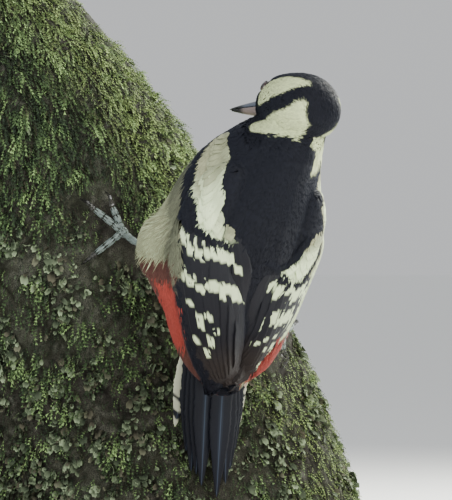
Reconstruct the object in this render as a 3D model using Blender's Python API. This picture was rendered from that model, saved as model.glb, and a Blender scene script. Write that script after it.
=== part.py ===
"""A great spotted woodpecker, adult female, life size, clinging to a short cut length of trunk.

The bird is parted into its named pieces: head, bill, eyes, neck, body, folded wings, tail
feathers, legs, feet and claws. The trunk stands on two short rods and a flat round-edged base.

Frame: metres, +Z up, origin at the centre of the base's underside. The bird's back faces -Y,
and its left side is towards -X. Solids that touch keep a gap of 0.3 mm.
"""
import math

import bmesh
import bpy
from mathutils import Matrix, Vector

MM = 0.001
GAP = 0.3 * MM              # clearance between solids that touch

# The bird, in millimetres. Every size of the body goes out to the tips of the feathers.
HEAD_LENGTH = 43.0          # feathers over the bill to the back of the nape
HEAD_HALF_WIDTH = 16.6
HEAD_CROWN = 15.0           # bill line up to the crown
HEAD_THROAT = 13.5          # bill line down to the throat
HEAD_TURN = 38.0            # degrees that the bill points to the bird's left of straight ahead
HEAD_ROLL = 22.0            # degrees that the crown leans over to the bird's right
BILL_LENGTH = 24.2
BILL_HALF_DEPTH = 4.1
BILL_HALF_WIDTH = 3.9
EYE_RADIUS = 3.1
BACK_TURN = 24.0            # degrees that the back faces to the right of the viewer behind it
WING_THICKNESS = 3.2
WING_CLEARANCE = 1.0        # between a folded wing and the feathers under it
LEFT_FLANK_RUFFLE = 6.0     # loose feathers of the left flank, over the raised thigh
RIGHT_BELLY_RUFFLE = 3.6    # loose belly feathers that show beyond the right wing
TAIL_LENGTH = 86.0
TAIL_FEATHER_HALF_WIDTH = 5.0
TAIL_FEATHER_THICKNESS = 0.7
TAIL_FEATHER_PAIRS = 5
TAIL_LAYER = 1.15           # each feather lies this far under the one beside it
TAIL_TIP_STEPS = (0.0, 4.5, 11.0, 20.0, 31.0)   # how much shorter each pair is than the middle
TARSUS_RADIUS = 1.5
TOE_RADIUS = 1.55
CLAW_LENGTH = 10.0

# The length of trunk: a gentle arc that leans more to the left as it rises.
TRUNK_ARC_CENTRE = Vector((-554.6, 0.0, -177.2))
TRUNK_ARC_RADIUS = 631.0
TRUNK_HALF_WIDTH = 78.0
TRUNK_HALF_DEPTH = 56.0
TRUNK_DEPTH_PLACE = 44.0    # how far the trunk's middle lies behind the origin
TRUNK_LEAN_LOW = 15.0       # degrees of the arc at the foot, before the level cut
TRUNK_LEAN_HIGH = 43.0      # degrees of the arc at the upper cut
TRUNK_CUT_HEIGHT = 37.0     # level cut above the floor

# The stand.
BASE_LENGTH = 310.0
BASE_DEPTH = 226.0
BASE_THICKNESS = 12.0
ROD_RADIUS = 5.0
ROD_PLACES = ((-10.0, 44.0), (84.0, 44.0))
FLANGE_RADIUS = 14.0
FLANGE_THICKNESS = 2.5

for scene_object in list(bpy.context.scene.objects):
    bpy.data.objects.remove(scene_object, do_unlink=True)


# ---------------------------------------------------------------- materials and mesh helpers

def finish_of(name, colour, roughness, metallic=0.0):
    """A Principled material of one plain colour."""
    material = bpy.data.materials.new(name)
    material.use_nodes = True
    shader = material.node_tree.nodes["Principled BSDF"]
    shader.inputs["Base Color"].default_value = (*colour, 1.0)
    shader.inputs["Roughness"].default_value = roughness
    shader.inputs["Metallic"].default_value = metallic
    return material


def add_piece(name, mesh, finish, sharp_angle=35.0):
    """Links a finished mesh as one named piece, shaded smooth."""
    mesh.name = name
    piece = bpy.data.objects.new(name, mesh)
    bpy.context.scene.collection.objects.link(piece)
    material = finish_of(name, *finish)
    mesh.materials.append(material)
    mesh.shade_smooth()
    mesh.set_sharp_from_angle(angle=math.radians(sharp_angle))
    return piece


def hide_cutter(piece):
    piece.hide_render = True
    piece.display_type = "WIRE"


def loft(rings, name="loft"):
    """A closed skin through rings of equally many points, in millimetres, capped at both ends."""
    solid = bmesh.new()
    rows = [[solid.verts.new(point * MM) for point in ring] for ring in rings]
    count = len(rows[0])
    for lower, upper in zip(rows, rows[1:]):
        for i in range(count):
            j = (i + 1) % count
            solid.faces.new((lower[i], lower[j], upper[j], upper[i]))
    for row in (rows[0], rows[-1]):
        middle = solid.verts.new(sum((v.co for v in row), Vector()) / count)
        for i in range(count):
            solid.faces.new((row[i], row[(i + 1) % count], middle))
    bmesh.ops.recalc_face_normals(solid, faces=solid.faces)
    mesh = bpy.data.meshes.new(name)
    solid.to_mesh(mesh)
    solid.free()
    return mesh


def grown(mesh, distance):
    """A copy of a mesh with its surface moved outwards, in metres."""
    solid = bmesh.new()
    solid.from_mesh(mesh)
    solid.normal_update()
    moves = [(v, v.normal.copy()) for v in solid.verts]
    for v, normal in moves:
        v.co += normal * distance
    copy = bpy.data.meshes.new(mesh.name + "_grown")
    solid.to_mesh(copy)
    solid.free()
    return copy


def use_boolean(piece, other, operation):
    cut = piece.modifiers.new(operation.lower() + "_" + other.name, "BOOLEAN")
    cut.operation = operation
    cut.solver = "EXACT"
    cut.object = other


def clear_of(piece, neighbour, distance=GAP):
    """Cuts a piece back so that it stays clear of its neighbour."""
    cutter = bpy.data.objects.new("room_for_" + neighbour.name + "_in_" + piece.name,
                                  grown(neighbour.data, distance))
    bpy.context.scene.collection.objects.link(cutter)
    hide_cutter(cutter)
    use_boolean(piece, cutter, "DIFFERENCE")


def curve_through(stations, place):
    """Catmull-Rom value of a list of equal-length tuples, place 0 at the first, 1 at the last."""
    spans = len(stations) - 1
    at = min(max(place, 0.0), 1.0) * spans
    k = min(int(at), spans - 1)
    t = at - k
    p0, p1 = stations[max(k - 1, 0)], stations[k]
    p2, p3 = stations[k + 1], stations[min(k + 2, spans)]
    return [0.5 * (2 * b + (c - a) * t + (2 * a - 5 * b + 4 * c - d) * t * t
                   + (3 * b - a - 3 * c + d) * t ** 3)
            for a, b, c, d in zip(p0, p1, p2, p3)]


def smooth_step(low, high, value):
    t = min(max((value - low) / (high - low), 0.0), 1.0)
    return t * t * (3.0 - 2.0 * t)


def tube(path, radii, sides, flatness=1.0, upright=Vector((0, 0, 1))):
    """Rings of a tapering tube along a path of points, for loft()."""
    rings = []
    for k, point in enumerate(path):
        ahead = path[min(k + 1, len(path) - 1)] - path[max(k - 1, 0)]
        ahead.normalize()
        side = ahead.cross(upright).normalized()
        over = side.cross(ahead).normalized()
        ring = []
        for i in range(sides):
            turn = math.tau * i / sides
            ring.append(point + side * math.cos(turn) * radii[k]
                        + over * math.sin(turn) * radii[k] * flatness)
        rings.append(ring)
    return rings


# ---------------------------------------------------------------- the trunk and its surface

def trunk_point(lean, around, height=0.0):
    """A point at a height over the bark: lean up the arc, around from the right to the front."""
    lean = math.radians(lean)
    around = math.radians(around)
    outward = Vector((math.cos(lean), 0.0, math.sin(lean)))
    front = Vector((0.0, -1.0, 0.0))
    swell = 1.0 + 0.02 * math.sin(3 * around + 5 * lean) + 0.012 * math.sin(5 * around - 9 * lean)
    across = outward * math.cos(around) * TRUNK_HALF_WIDTH
    deep = front * math.sin(around) * TRUNK_HALF_DEPTH
    normal = (outward * math.cos(around) / TRUNK_HALF_WIDTH
              + front * math.sin(around) / TRUNK_HALF_DEPTH).normalized()
    middle = TRUNK_ARC_CENTRE + outward * TRUNK_ARC_RADIUS
    middle.y = TRUNK_DEPTH_PLACE
    return middle + (across + deep) * swell + normal * height


def trunk_place(x, z, height=0.0):
    """The lean and turn on the bark that lie straight behind a point of the front view."""
    reach = Vector((x, 0.0, z)) - TRUNK_ARC_CENTRE
    lean = math.degrees(math.atan2(reach.z, reach.x))
    ratio = (reach.length - TRUNK_ARC_RADIUS) / TRUNK_HALF_WIDTH
    return lean, math.degrees(math.acos(min(max(ratio, -1.0), 1.0)))


def make_trunk():
    sides, rows = 38, 16
    rings = []
    for k in range(rows + 1):
        lean = TRUNK_LEAN_LOW + (TRUNK_LEAN_HIGH - TRUNK_LEAN_LOW) * k / rows
        rings.append([trunk_point(lean, 360.0 * i / sides) for i in range(sides)])
    mesh = loft(rings)
    solid = bmesh.new()
    solid.from_mesh(mesh)
    whole = solid.verts[:] + solid.edges[:] + solid.faces[:]
    cut = bmesh.ops.bisect_plane(solid, geom=whole, plane_co=(0, 0, TRUNK_CUT_HEIGHT * MM),
                                 plane_no=(0, 0, -1), clear_outer=True)
    rim = [e for e in cut["geom_cut"] if isinstance(e, bmesh.types.BMEdge)]
    bmesh.ops.contextual_create(solid, geom=rim)
    bmesh.ops.recalc_face_normals(solid, faces=solid.faces)
    solid.to_mesh(mesh)
    solid.free()
    return add_piece("perch_trunk", mesh, ((0.16, 0.17, 0.10), 0.95))


# ---------------------------------------------------------------- the stand

def disc_stack(levels, place, sides=16):
    """A turned piece from (radius, height) levels around an upright axis."""
    rings = []
    for radius, height in levels:
        rings.append([Vector((place[0] + radius * math.cos(math.tau * i / sides),
                              place[1] + radius * math.sin(math.tau * i / sides), height))
                      for i in range(sides)])
    return loft(rings)


def make_stand():
    base = bmesh.new()
    bmesh.ops.create_cube(base, size=1.0)
    for v in base.verts:
        v.co = Vector((v.co.x * BASE_LENGTH, v.co.y * BASE_DEPTH,
                       (v.co.z + 0.5) * BASE_THICKNESS)) * MM
    uprights = [e for e in base.edges if abs(e.verts[0].co.z - e.verts[1].co.z) > 1 * MM]
    bmesh.ops.bevel(base, geom=uprights, offset=18 * MM, segments=6, profile=0.5,
                    affect="EDGES")
    rim = [e for e in base.edges if all(v.co.z > 0.9 * BASE_THICKNESS * MM for v in e.verts)]
    bmesh.ops.bevel(base, geom=rim, offset=2.5 * MM, segments=2, profile=0.5, affect="EDGES")
    mesh = bpy.data.meshes.new("base")
    base.to_mesh(mesh)
    base.free()
    pieces = [add_piece("stand_base", mesh, ((0.05, 0.045, 0.04), 0.4))]
    low = BASE_THICKNESS + 0.3
    top = TRUNK_CUT_HEIGHT - 0.3
    for number, place in enumerate(ROD_PLACES, 1):
        levels = ((FLANGE_RADIUS, low), (FLANGE_RADIUS, low + FLANGE_THICKNESS),
                  (ROD_RADIUS, low + FLANGE_THICKNESS + 1), (ROD_RADIUS, top - FLANGE_THICKNESS - 1),
                  (FLANGE_RADIUS, top - FLANGE_THICKNESS), (FLANGE_RADIUS, top))
        pieces.append(add_piece(f"stand_rod_{number}", disc_stack(levels, place),
                                ((0.35, 0.34, 0.32), 0.35, 1.0)))
    return pieces


# ---------------------------------------------------------------- body, neck and wings

# Stations from the vent up to the throat, in millimetres: middle (x, y, z), half width,
# depth to the back and depth to the belly.
BODY_STATIONS = (
    (60.5, -30.0, 97.0, 5.0, 3.0, 3.5),
    (60.8, -34.0, 104.0, 12.0, 5.5, 7.0),
    (61.0, -39.0, 113.0, 18.5, 9.0, 12.0),
    (61.5, -45.0, 124.0, 24.0, 14.0, 18.0),
    (62.8, -52.0, 139.0, 29.5, 19.0, 24.0),
    (64.0, -59.0, 157.0, 34.5, 23.5, 28.0),
    (67.8, -67.0, 174.0, 33.2, 26.0, 30.0),
    (74.7, -74.5, 187.5, 28.3, 25.5, 28.0),
    (81.0, -81.0, 198.5, 21.0, 21.5, 21.5),
    (87.2, -87.0, 208.0, 15.3, 17.0, 14.0),
    (91.8, -91.5, 216.0, 12.2, 12.0, 8.0),
)
NECK_PLACE = 0.80           # share of the stations where the neck starts


def spine_frame(place):
    """Middle, the bird's right, and its back direction at a place along the stations."""
    step = 0.01
    low, high = max(place - step, 0.0), min(place + step, 1.0)
    middle = Vector(curve_through(BODY_STATIONS, place)[:3])
    along = (Vector(curve_through(BODY_STATIONS, high)[:3])
             - Vector(curve_through(BODY_STATIONS, low)[:3])).normalized()
    turn = math.radians(BACK_TURN)
    back = Vector((math.sin(turn), -math.cos(turn), 0.0))
    back = (back - along * back.dot(along)).normalized()
    return middle, along.cross(back).normalized(), back


def body_point(place, angle, lift=0.0):
    """Surface of the body: angle 0 at the middle of the back, 90 at the left flank."""
    middle, right, back = spine_frame(place)
    half_width, to_back, to_belly = curve_through(BODY_STATIONS, place)[3:]
    a = math.radians(angle)
    depth = to_back if math.cos(a) > 0 else to_belly
    point = middle - right * math.sin(a) * (half_width + lift)
    return point + back * math.cos(a) * (depth + lift)


def fluff(place, angle):
    """How far the loose feathers of the mantle and the flanks stand over the bare form."""
    side = abs((angle + 180.0) % 360.0 - 180.0)
    mantle = 1.0 - smooth_step(22.0, 34.0, side)
    flank = smooth_step(76.0, 92.0, side)
    ends = smooth_step(0.0, 0.25, place)
    ruffle = 0.0
    if 78.0 < angle % 360.0 < 150.0:
        ruffle = (LEFT_FLANK_RUFFLE * math.sin(math.pi * (angle % 360.0 - 78.0) / 72.0)
                  * smooth_step(0.38, 0.48, place) * (1.0 - smooth_step(0.50, 0.61, place)))
    if 76.0 < angle % 360.0 < 180.0:
        flank *= 1.0 - 0.9 * smooth_step(0.50, 0.60, place) * (1.0 - smooth_step(0.64, 0.72, place))
    if 200.0 < angle % 360.0 < 284.0:
        ruffle = (RIGHT_BELLY_RUFFLE * math.sin(math.pi * (284.0 - angle % 360.0) / 84.0)
                  * smooth_step(0.26, 0.38, place) * (1.0 - smooth_step(0.46, 0.58, place)))
    return ends * (WING_THICKNESS * 0.8 * mantle * smooth_step(0.42, 0.6, place)
                   + 2.2 * flank) + ruffle


def body_ring(place, sides):
    angles = [360.0 * i / sides for i in range(sides)]
    return [body_point(place, a, fluff(place, a)) for a in angles]


def make_body_and_neck():
    sides = 26
    body = loft([body_ring(NECK_PLACE * k / 15, sides) for k in range(16)])
    start = NECK_PLACE + 0.0045
    neck = loft([body_ring(start + (1.0 - start) * k / 6, sides) for k in range(7)])
    return (add_piece("body", body, ((0.04, 0.04, 0.05), 0.7)),
            add_piece("neck", neck, ((0.05, 0.05, 0.06), 0.7)))


# A folded wing lies over the back and flank as a shell. Stations from the shoulder down to the
# tip: place along the body (below 0 it runs on down over the tail), edge angle towards the
# back, edge angle towards the flank, and thickness.
WING_STATIONS = (
    (0.79, 52.0, 66.0, 1.0),
    (0.75, 40.0, 74.0, 2.4),
    (0.66, 34.0, 76.0, 3.2),
    (0.56, 30.0, 75.0, 3.2),
    (0.46, 15.0, 72.0, 3.0),
    (0.36, 6.0, 70.0, 2.8),
    (0.26, 4.0, 68.0, 2.6),
    (0.16, 3.0, 64.0, 2.4),
)


def wing_ring(side, place, sides=9):
    """One closed ring around a folded wing, outer side first. side is +1 left, -1 right."""
    reach, inner, outer, thick = curve_through(WING_STATIONS, place)
    over, under = [], []
    for i in range(sides):
        share = i / (sides - 1)
        angle = side * (inner + (outer - inner) * share)
        crown = math.sin(math.pi * share) ** 0.5
        lowest = fluff(reach, angle) + WING_CLEARANCE
        under.append(body_point(reach, angle, lowest))
        over.append(body_point(reach, angle, lowest + 0.6 + thick * crown))
    return over + under[::-1]


def wing_tip_rings(side, last_ring, rows=5):
    """Rings that narrow from the wing's last ring to its tip over the root of the tail."""
    tip = WING_TIPS[side]
    heart = sum(last_ring, Vector()) / len(last_ring)
    rings = []
    for k in range(1, rows + 1):
        share = k / rows
        shrink = (1.0 - share) ** 0.75 * 0.94 + 0.06
        middle = heart.lerp(tip, share)
        rings.append([middle + (point - heart) * shrink for point in last_ring])
    return rings


WING_TIPS = {1: Vector((52.6, -39.5, 95.5)), -1: Vector((58.8, -41.5, 96.5))}


def make_wing(side, name):
    """The folded wing in two pieces: the shoulder with its coverts, and the flight feathers.

    Returns the flight feathers, whose tips run down beside the vent.
    """
    split = 0.52
    arm = loft([wing_ring(side, split * k / 7) for k in range(8)])
    start = split + 0.008
    rings = [wing_ring(side, start + (1.0 - start) * k / 5) for k in range(6)]
    rings += wing_tip_rings(side, rings[-1])
    quills = loft(rings)
    add_piece(name + "_coverts", arm, ((0.03, 0.03, 0.04), 0.6))
    return add_piece(name + "_flight_feathers", quills, ((0.05, 0.045, 0.045), 0.6))


# ---------------------------------------------------------------- head, eyes and bill

HEAD_MIDDLE = Vector((88.9, -90.0, 221.0))      # on the line of the bill, between the ears


def head_frame():
    """The head's forward, left and up directions."""
    turn, roll = math.radians(HEAD_TURN), math.radians(HEAD_ROLL)
    forward = Vector((-math.sin(turn), math.cos(turn), 0.0))
    level_left = Vector((-math.cos(turn), -math.sin(turn), 0.0))
    up = Vector((0.0, 0.0, 1.0))
    left = level_left * math.cos(roll) + up * math.sin(roll)
    return forward, left, up * math.cos(roll) - level_left * math.sin(roll)


def head_point(ahead, aside, above):
    forward, left, up = head_frame()
    return HEAD_MIDDLE + forward * ahead + left * aside + up * above


# Stations of the head from the nape to the root of the bill: distance ahead of the middle,
# half width, height of the crown and depth of the throat, as shares of the driving sizes.
HEAD_STATIONS = (
    (-0.52, 0.06, 0.06, 0.10),
    (-0.50, 0.42, 0.42, 0.46),
    (-0.42, 0.74, 0.76, 0.80),
    (-0.28, 0.94, 0.96, 0.98),
    (-0.12, 1.00, 1.00, 1.00),
    (0.04, 0.98, 0.99, 0.92),
    (0.18, 0.86, 0.90, 0.76),
    (0.30, 0.62, 0.66, 0.58),
    (0.40, 0.37, 0.41, 0.43),
    (0.485, 0.24, 0.27, 0.30),
)
BILL_ROOT = 0.485 * HEAD_LENGTH


def make_head():
    sides, rows = 22, 13
    rings = []
    for k in range(rows + 1):
        ahead, wide, crown, throat = curve_through(HEAD_STATIONS, k / rows)
        ring = []
        for i in range(sides):
            a = math.tau * i / sides
            above = math.sin(a) * (HEAD_CROWN * crown if math.sin(a) > 0 else HEAD_THROAT * throat)
            ring.append(head_point(ahead * HEAD_LENGTH, math.cos(a) * HEAD_HALF_WIDTH * wide,
                                   above))
        rings.append(ring)
    return add_piece("head", loft(rings), ((0.03, 0.03, 0.04), 0.6))


def make_eye(side, name):
    """An eyeball sunk in the side of the head, its cornea just proud of the lids."""
    ball = bmesh.new()
    bmesh.ops.create_uvsphere(ball, u_segments=12, v_segments=8, radius=EYE_RADIUS * MM)
    for v in ball.verts:
        v.co += head_point(7.4, side * 12.0, 5.4) * MM
    mesh = bpy.data.meshes.new(name)
    ball.to_mesh(mesh)
    ball.free()
    return add_piece(name, mesh, ((0.02, 0.008, 0.006), 0.08))


def make_bill_half(name, side, colour):
    """Half of the bill, a tapering chisel: side +1 is the upper mandible, -1 the lower."""
    length = BILL_LENGTH if side > 0 else BILL_LENGTH - 1.5
    rows, arch = 8, 8
    rings = []
    for k in range(rows + 1):
        share = k / rows
        taper = (1.0 - share) ** 0.8 * 0.86 + 0.14 * (1.0 - share ** 6) + 0.02
        half_width = BILL_HALF_WIDTH * taper
        deep = BILL_HALF_DEPTH * ((1.0 - share) * 0.9 + 0.1 * (1.0 - share ** 5) + 0.03)
        if side < 0:
            deep *= 0.8
        ahead = BILL_ROOT + GAP / MM + length * share
        ring = [head_point(ahead, half_width * math.cos(math.pi * i / arch),
                           side * (0.16 + deep * math.sin(math.pi * i / arch)))
                for i in range(arch + 1)]
        rings.append(ring)
    return add_piece(name, loft(rings), (colour, 0.35))


# ---------------------------------------------------------------- tail feathers

TAIL_TIP = Vector((55.0, -14.2, 50.0))
TAIL_HEADING = Vector((1.6, -18.0, 78.5)).normalized()     # from the tip up to the root
TAIL_ROOT = TAIL_TIP + TAIL_HEADING * TAIL_LENGTH


def tail_frame():
    along = -TAIL_HEADING
    turn = math.radians(17.0)
    back = Vector((math.sin(turn), -math.cos(turn), 0.0))
    back = (back - along * back.dot(along)).normalized()
    return along, back.cross(along).normalized(), back


def make_tail_feather(side, number):
    """One stiff pointed feather; number 1 is the middle pair, over the pairs beside it."""
    along, right, back = tail_frame()
    length = TAIL_LENGTH - TAIL_TIP_STEPS[number - 1]
    offset = 1.2 if number == 1 else 5.5 + 2.7 * (number - 2)
    rows, half = 7, TAIL_FEATHER_HALF_WIDTH
    rings = []
    for k in range(rows + 1):
        share = k / rows
        width = half * (0.62 + 0.38 * smooth_step(0.0, 0.45, share))
        width *= max(1.0 - max(share - 0.62, 0.0) ** 1.35 * 3.3, 0.07)
        aside = side * ((3.8 + 1.2 * (number - 1)) * (1.0 - share) + offset * share)
        layer = TAIL_LAYER * (number if number > 1 or side < 0 else 0)
        middle = TAIL_ROOT + along * length * share + right * aside - back * layer
        ring = []
        for cross, top in ((-1, 0.5), (0, 1), (1, 0.5), (1, -0.5), (0, 0), (-1, -0.5)):
            curl = 0.018 * (aside + cross * width) ** 2
            thick = TAIL_FEATHER_THICKNESS * 0.5 * (top if abs(cross) else (2 if top else -1))
            ring.append(middle + right * cross * width - back * curl + back * thick)
        rings.append(ring)
    names = {1: "right", -1: "left"}
    return add_piece(f"tail_feather_{names[side]}_{number}", loft(rings),
                     ((0.03, 0.03, 0.035), 0.6))


# ---------------------------------------------------------------- legs, feet and claws

# For each leg: the root of the thigh in the belly, the heel, and the ball of the foot as it is
# seen from the front; then each toe's heading on the bark (degrees to the right of straight up
# the trunk) and length. Toes 1 and 4 point back, toes 2 and 3 forward.
LEGS = {
    "left": (Vector((42.0, -46.0, 142.0)), Vector((27.0, -27.0, 158.0)), (13.0, 167.0),
             ((1, 158.0, 7.0), (2, 12.0, 11.5), (3, -20.0, 15.5), (4, -97.0, 15.0))),
    "right": (Vector((72.0, -38.0, 132.0)), Vector((78.0, -6.0, 126.0)), (83.5, 121.0),
              ((1, -150.0, 7.0), (2, -8.0, 11.5), (3, 24.0, 14.0), (4, 84.0, 14.0))),
}
TARSUS_FINISH = ((0.20, 0.20, 0.18), 0.55)
CLAW_FINISH = ((0.06, 0.06, 0.06), 0.35)


def walk_on_bark(place, heading, distance, height):
    """The point that lies a distance along a heading from a place on the bark."""
    lean, around = place
    turn = math.radians(heading)
    a = math.radians(around)
    girth = math.hypot(TRUNK_HALF_WIDTH * math.sin(a), TRUNK_HALF_DEPTH * math.cos(a))
    lean += math.degrees(distance * math.cos(turn) / TRUNK_ARC_RADIUS)
    around -= math.degrees(distance * math.sin(turn) / girth)
    return trunk_point(lean, around, height)


def make_toe(place, heading, length):
    reaches = (1.5, 0.35 * length, 0.68 * length, length)
    heights = (2.9, 3.1, 2.7, 2.5)
    radii = (1.15 * TOE_RADIUS, TOE_RADIUS, 1.05 * TOE_RADIUS, 0.85 * TOE_RADIUS)
    path = [walk_on_bark(place, heading, r, h) for r, h in zip(reaches, heights)]
    outwards = (walk_on_bark(place, heading, 0, 10) - walk_on_bark(place, heading, 0, 0))
    return loft(tube(path, radii, 7, 1.0, outwards.normalized()))


def make_claw(name, place, heading, toe_length):
    """A hooked claw that starts clear of its toe and sinks its point against the bark."""
    rows, start = 5, toe_length + 0.5
    path, radii = [], []
    for k in range(rows + 1):
        share = k / rows
        path.append(walk_on_bark(place, heading, start + CLAW_LENGTH * 0.72 * share,
                                 2.55 + 2.2 * math.sin(math.pi * min(share * 1.1, 1.0))
                                 * smooth_step(0.1, 0.5, share) - 1.65 * share ** 3))
        radii.append(1.25 * (1.0 - share) ** 0.7 + 0.22)
    outwards = (walk_on_bark(place, heading, 0, 10) - walk_on_bark(place, heading, 0, 0))
    return add_piece(name, loft(tube(path, radii, 6, 1.1, outwards.normalized())), CLAW_FINISH)


def make_leg(side, body):
    root, heel, ball, toes = LEGS[side]
    place = trunk_place(*ball)
    pad_middle = trunk_point(*place, 3.2)
    pad_mesh = loft(tube([trunk_point(*place, h) for h in (1.0, 1.6, 3.2, 4.8, 5.4)],
                         (1.4, 2.2, 2.7, 2.2, 1.2), 10))
    foot = add_piece("foot_" + side, pad_mesh, TARSUS_FINISH)
    for number, heading, length in toes:
        toe = bpy.data.objects.new(f"toe_{side}_{number}", make_toe(place, heading, length))
        bpy.context.scene.collection.objects.link(toe)
        hide_cutter(toe)
        use_boolean(foot, toe, "UNION")
        make_claw(f"claw_{side}_{number}", place, heading, length)
    knee = heel.lerp(root, 0.45)
    thigh_path = [heel.lerp(pad_middle, 0.04), heel, heel.lerp(knee, 0.5), knee,
                  knee.lerp(root, 0.6), root]
    thigh = add_piece("thigh_" + side, loft(tube(thigh_path, (1.5, 2.6, 5.0, 7.5, 9.0, 8.0), 12)),
                      ((0.45, 0.40, 0.32), 0.8))
    clear_of(thigh, body)
    down = (pad_middle - heel).normalized()
    shank = [heel + down * 1.6, heel.lerp(pad_middle, 0.4), heel.lerp(pad_middle, 0.7),
             pad_middle - down * 3.6]
    radii = (TARSUS_RADIUS, TARSUS_RADIUS * 0.9, TARSUS_RADIUS * 0.9, TARSUS_RADIUS * 1.05)
    add_piece("tarsus_" + side, loft(tube(shank, radii, 10)), TARSUS_FINISH)


# ---------------------------------------------------------------- putting the pieces together

make_trunk()
make_stand()
bird_body, bird_neck = make_body_and_neck()
bird_head = make_head()
clear_of(bird_neck, bird_head)
for wing_side, wing_name in ((1, "wing_left"), (-1, "wing_right")):
    clear_of(make_wing(wing_side, wing_name), bird_body)
for eye_side, eye_name in ((1, "eye_left"), (-1, "eye_right")):
    clear_of(bird_head, make_eye(eye_side, eye_name), GAP)
make_bill_half("bill_upper", 1, (0.14, 0.14, 0.14))
clear_of(bird_neck, make_bill_half("bill_lower", -1, (0.18, 0.18, 0.17)))
for pair in range(1, TAIL_FEATHER_PAIRS + 1):
    for tail_side in (1, -1):
        clear_of(make_tail_feather(tail_side, pair), bird_body)
for leg_side in ("left", "right"):
    make_leg(leg_side, bird_body)
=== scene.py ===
"""A great spotted woodpecker on a mossy trunk: the looks of a life-size museum model.

The bird is dressed from the skin outwards: one skin, then small feathers over it, then the
large feathers of the wings and the tail. After it come the bill, the eyes, the legs, the trunk
with its moss and lichen, and the display stand. All sizes are in metres.
"""
import math

import bmesh
import bpy
import numpy as np
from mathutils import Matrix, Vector, noise
from mathutils.bvhtree import BVHTree
from mathutils.kdtree import KDTree


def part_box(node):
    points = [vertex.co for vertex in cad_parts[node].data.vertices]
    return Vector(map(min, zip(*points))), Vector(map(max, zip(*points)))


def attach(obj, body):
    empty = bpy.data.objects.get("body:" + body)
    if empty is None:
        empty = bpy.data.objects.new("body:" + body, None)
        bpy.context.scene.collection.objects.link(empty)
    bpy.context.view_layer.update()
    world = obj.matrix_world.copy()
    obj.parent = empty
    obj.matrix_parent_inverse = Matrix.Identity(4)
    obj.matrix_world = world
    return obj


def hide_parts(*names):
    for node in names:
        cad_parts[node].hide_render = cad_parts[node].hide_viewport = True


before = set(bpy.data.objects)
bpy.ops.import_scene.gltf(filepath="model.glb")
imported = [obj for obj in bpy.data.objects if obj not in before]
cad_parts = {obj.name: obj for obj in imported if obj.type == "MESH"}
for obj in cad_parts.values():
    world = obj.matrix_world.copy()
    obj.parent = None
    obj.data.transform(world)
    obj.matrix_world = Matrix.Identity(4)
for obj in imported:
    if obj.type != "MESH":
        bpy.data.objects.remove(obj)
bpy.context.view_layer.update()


# The room: a wide pale paper floor under an even sky, as in a museum's studio. It is only there
# to light the model and is no part of it.
MM = 0.001
floor_radius = 40.0


def link(piece):
    """Puts a piece into the scene."""
    bpy.context.scene.collection.objects.link(piece)
    return piece


def mesh_from(shape, name):
    """Turns a drawn shape into a mesh."""
    mesh = bpy.data.meshes.new(name)
    shape.to_mesh(mesh)
    shape.free()
    return mesh


def set_sockets(node, sockets):
    """Sets the named sockets of a shader node."""
    for socket, value in dict(sockets).items():
        node.inputs[socket].default_value = value


def add_node(tree, kind, sockets=(), **settings):
    """Adds a shader node to a finish, with its settings and the values of its sockets."""
    node = tree.nodes.new("ShaderNode" + kind)
    for name, value in settings.items():
        setattr(node, name, value)
    set_sockets(node, sockets)
    return node


def wire(tree, *runs):
    """Joins shader nodes: each run is a node, its output, the next node and its input."""
    for start, output, end, entry in runs:
        tree.links.new(start.outputs[output], end.inputs[entry])


def add_relief(tree, shader, texture, sockets):
    """Lets a texture raise fine relief on a finish."""
    relief = add_node(tree, "Bump", sockets)
    wire(tree, (texture, "Fac", relief, "Height"), (relief, "Normal", shader, "Normal"))


def new_finish(name, colour, roughness, sockets=()):
    """A Principled material; returns it with its node tree and its shader."""
    finish = bpy.data.materials.new(name)
    finish.use_nodes = True
    shader = finish.node_tree.nodes["Principled BSDF"]
    set_sockets(shader, {"Base Color": (*colour, 1.0), "Roughness": roughness})
    set_sockets(shader, sockets)
    return finish, finish.node_tree, shader


floor = bmesh.new()
bmesh.ops.create_circle(floor, cap_ends=True, segments=128, radius=floor_radius)
floor_mesh = mesh_from(floor, "studio_floor")
studio_floor = link(bpy.data.objects.new("studio_floor", floor_mesh))
paper, paper_tree, paper_shader = new_finish("pale_paper", (0.95, 0.96, 0.95), 0.9)
paper_grain = add_node(paper_tree, "TexNoise", {"Scale": 40.0})
add_relief(paper_tree, paper_shader, paper_grain, {"Strength": 0.03})
floor_mesh.materials.append(paper)

# The camera stands three metres behind the bird, level with its back, with a long lens, so the
# bird is seen almost without perspective. The view is 198 mm wide at the bird's back.
view_width = 0.1982
view_distance = 3.0
view_middle = Vector((0.060, -0.060, 0.15965))
lens = bpy.data.cameras.new("camera")
lens.sensor_fit = "HORIZONTAL"
lens.sensor_width = 36.0
lens.lens = lens.sensor_width * view_distance / view_width
lens.clip_end = floor_radius * 2.25
camera = link(bpy.data.objects.new("camera", lens))
camera.location = view_middle + Vector((0.0, -view_distance, 0.0))
camera.rotation_euler = (math.pi / 2, 0.0, 0.0)
bpy.context.scene.camera = camera

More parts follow.
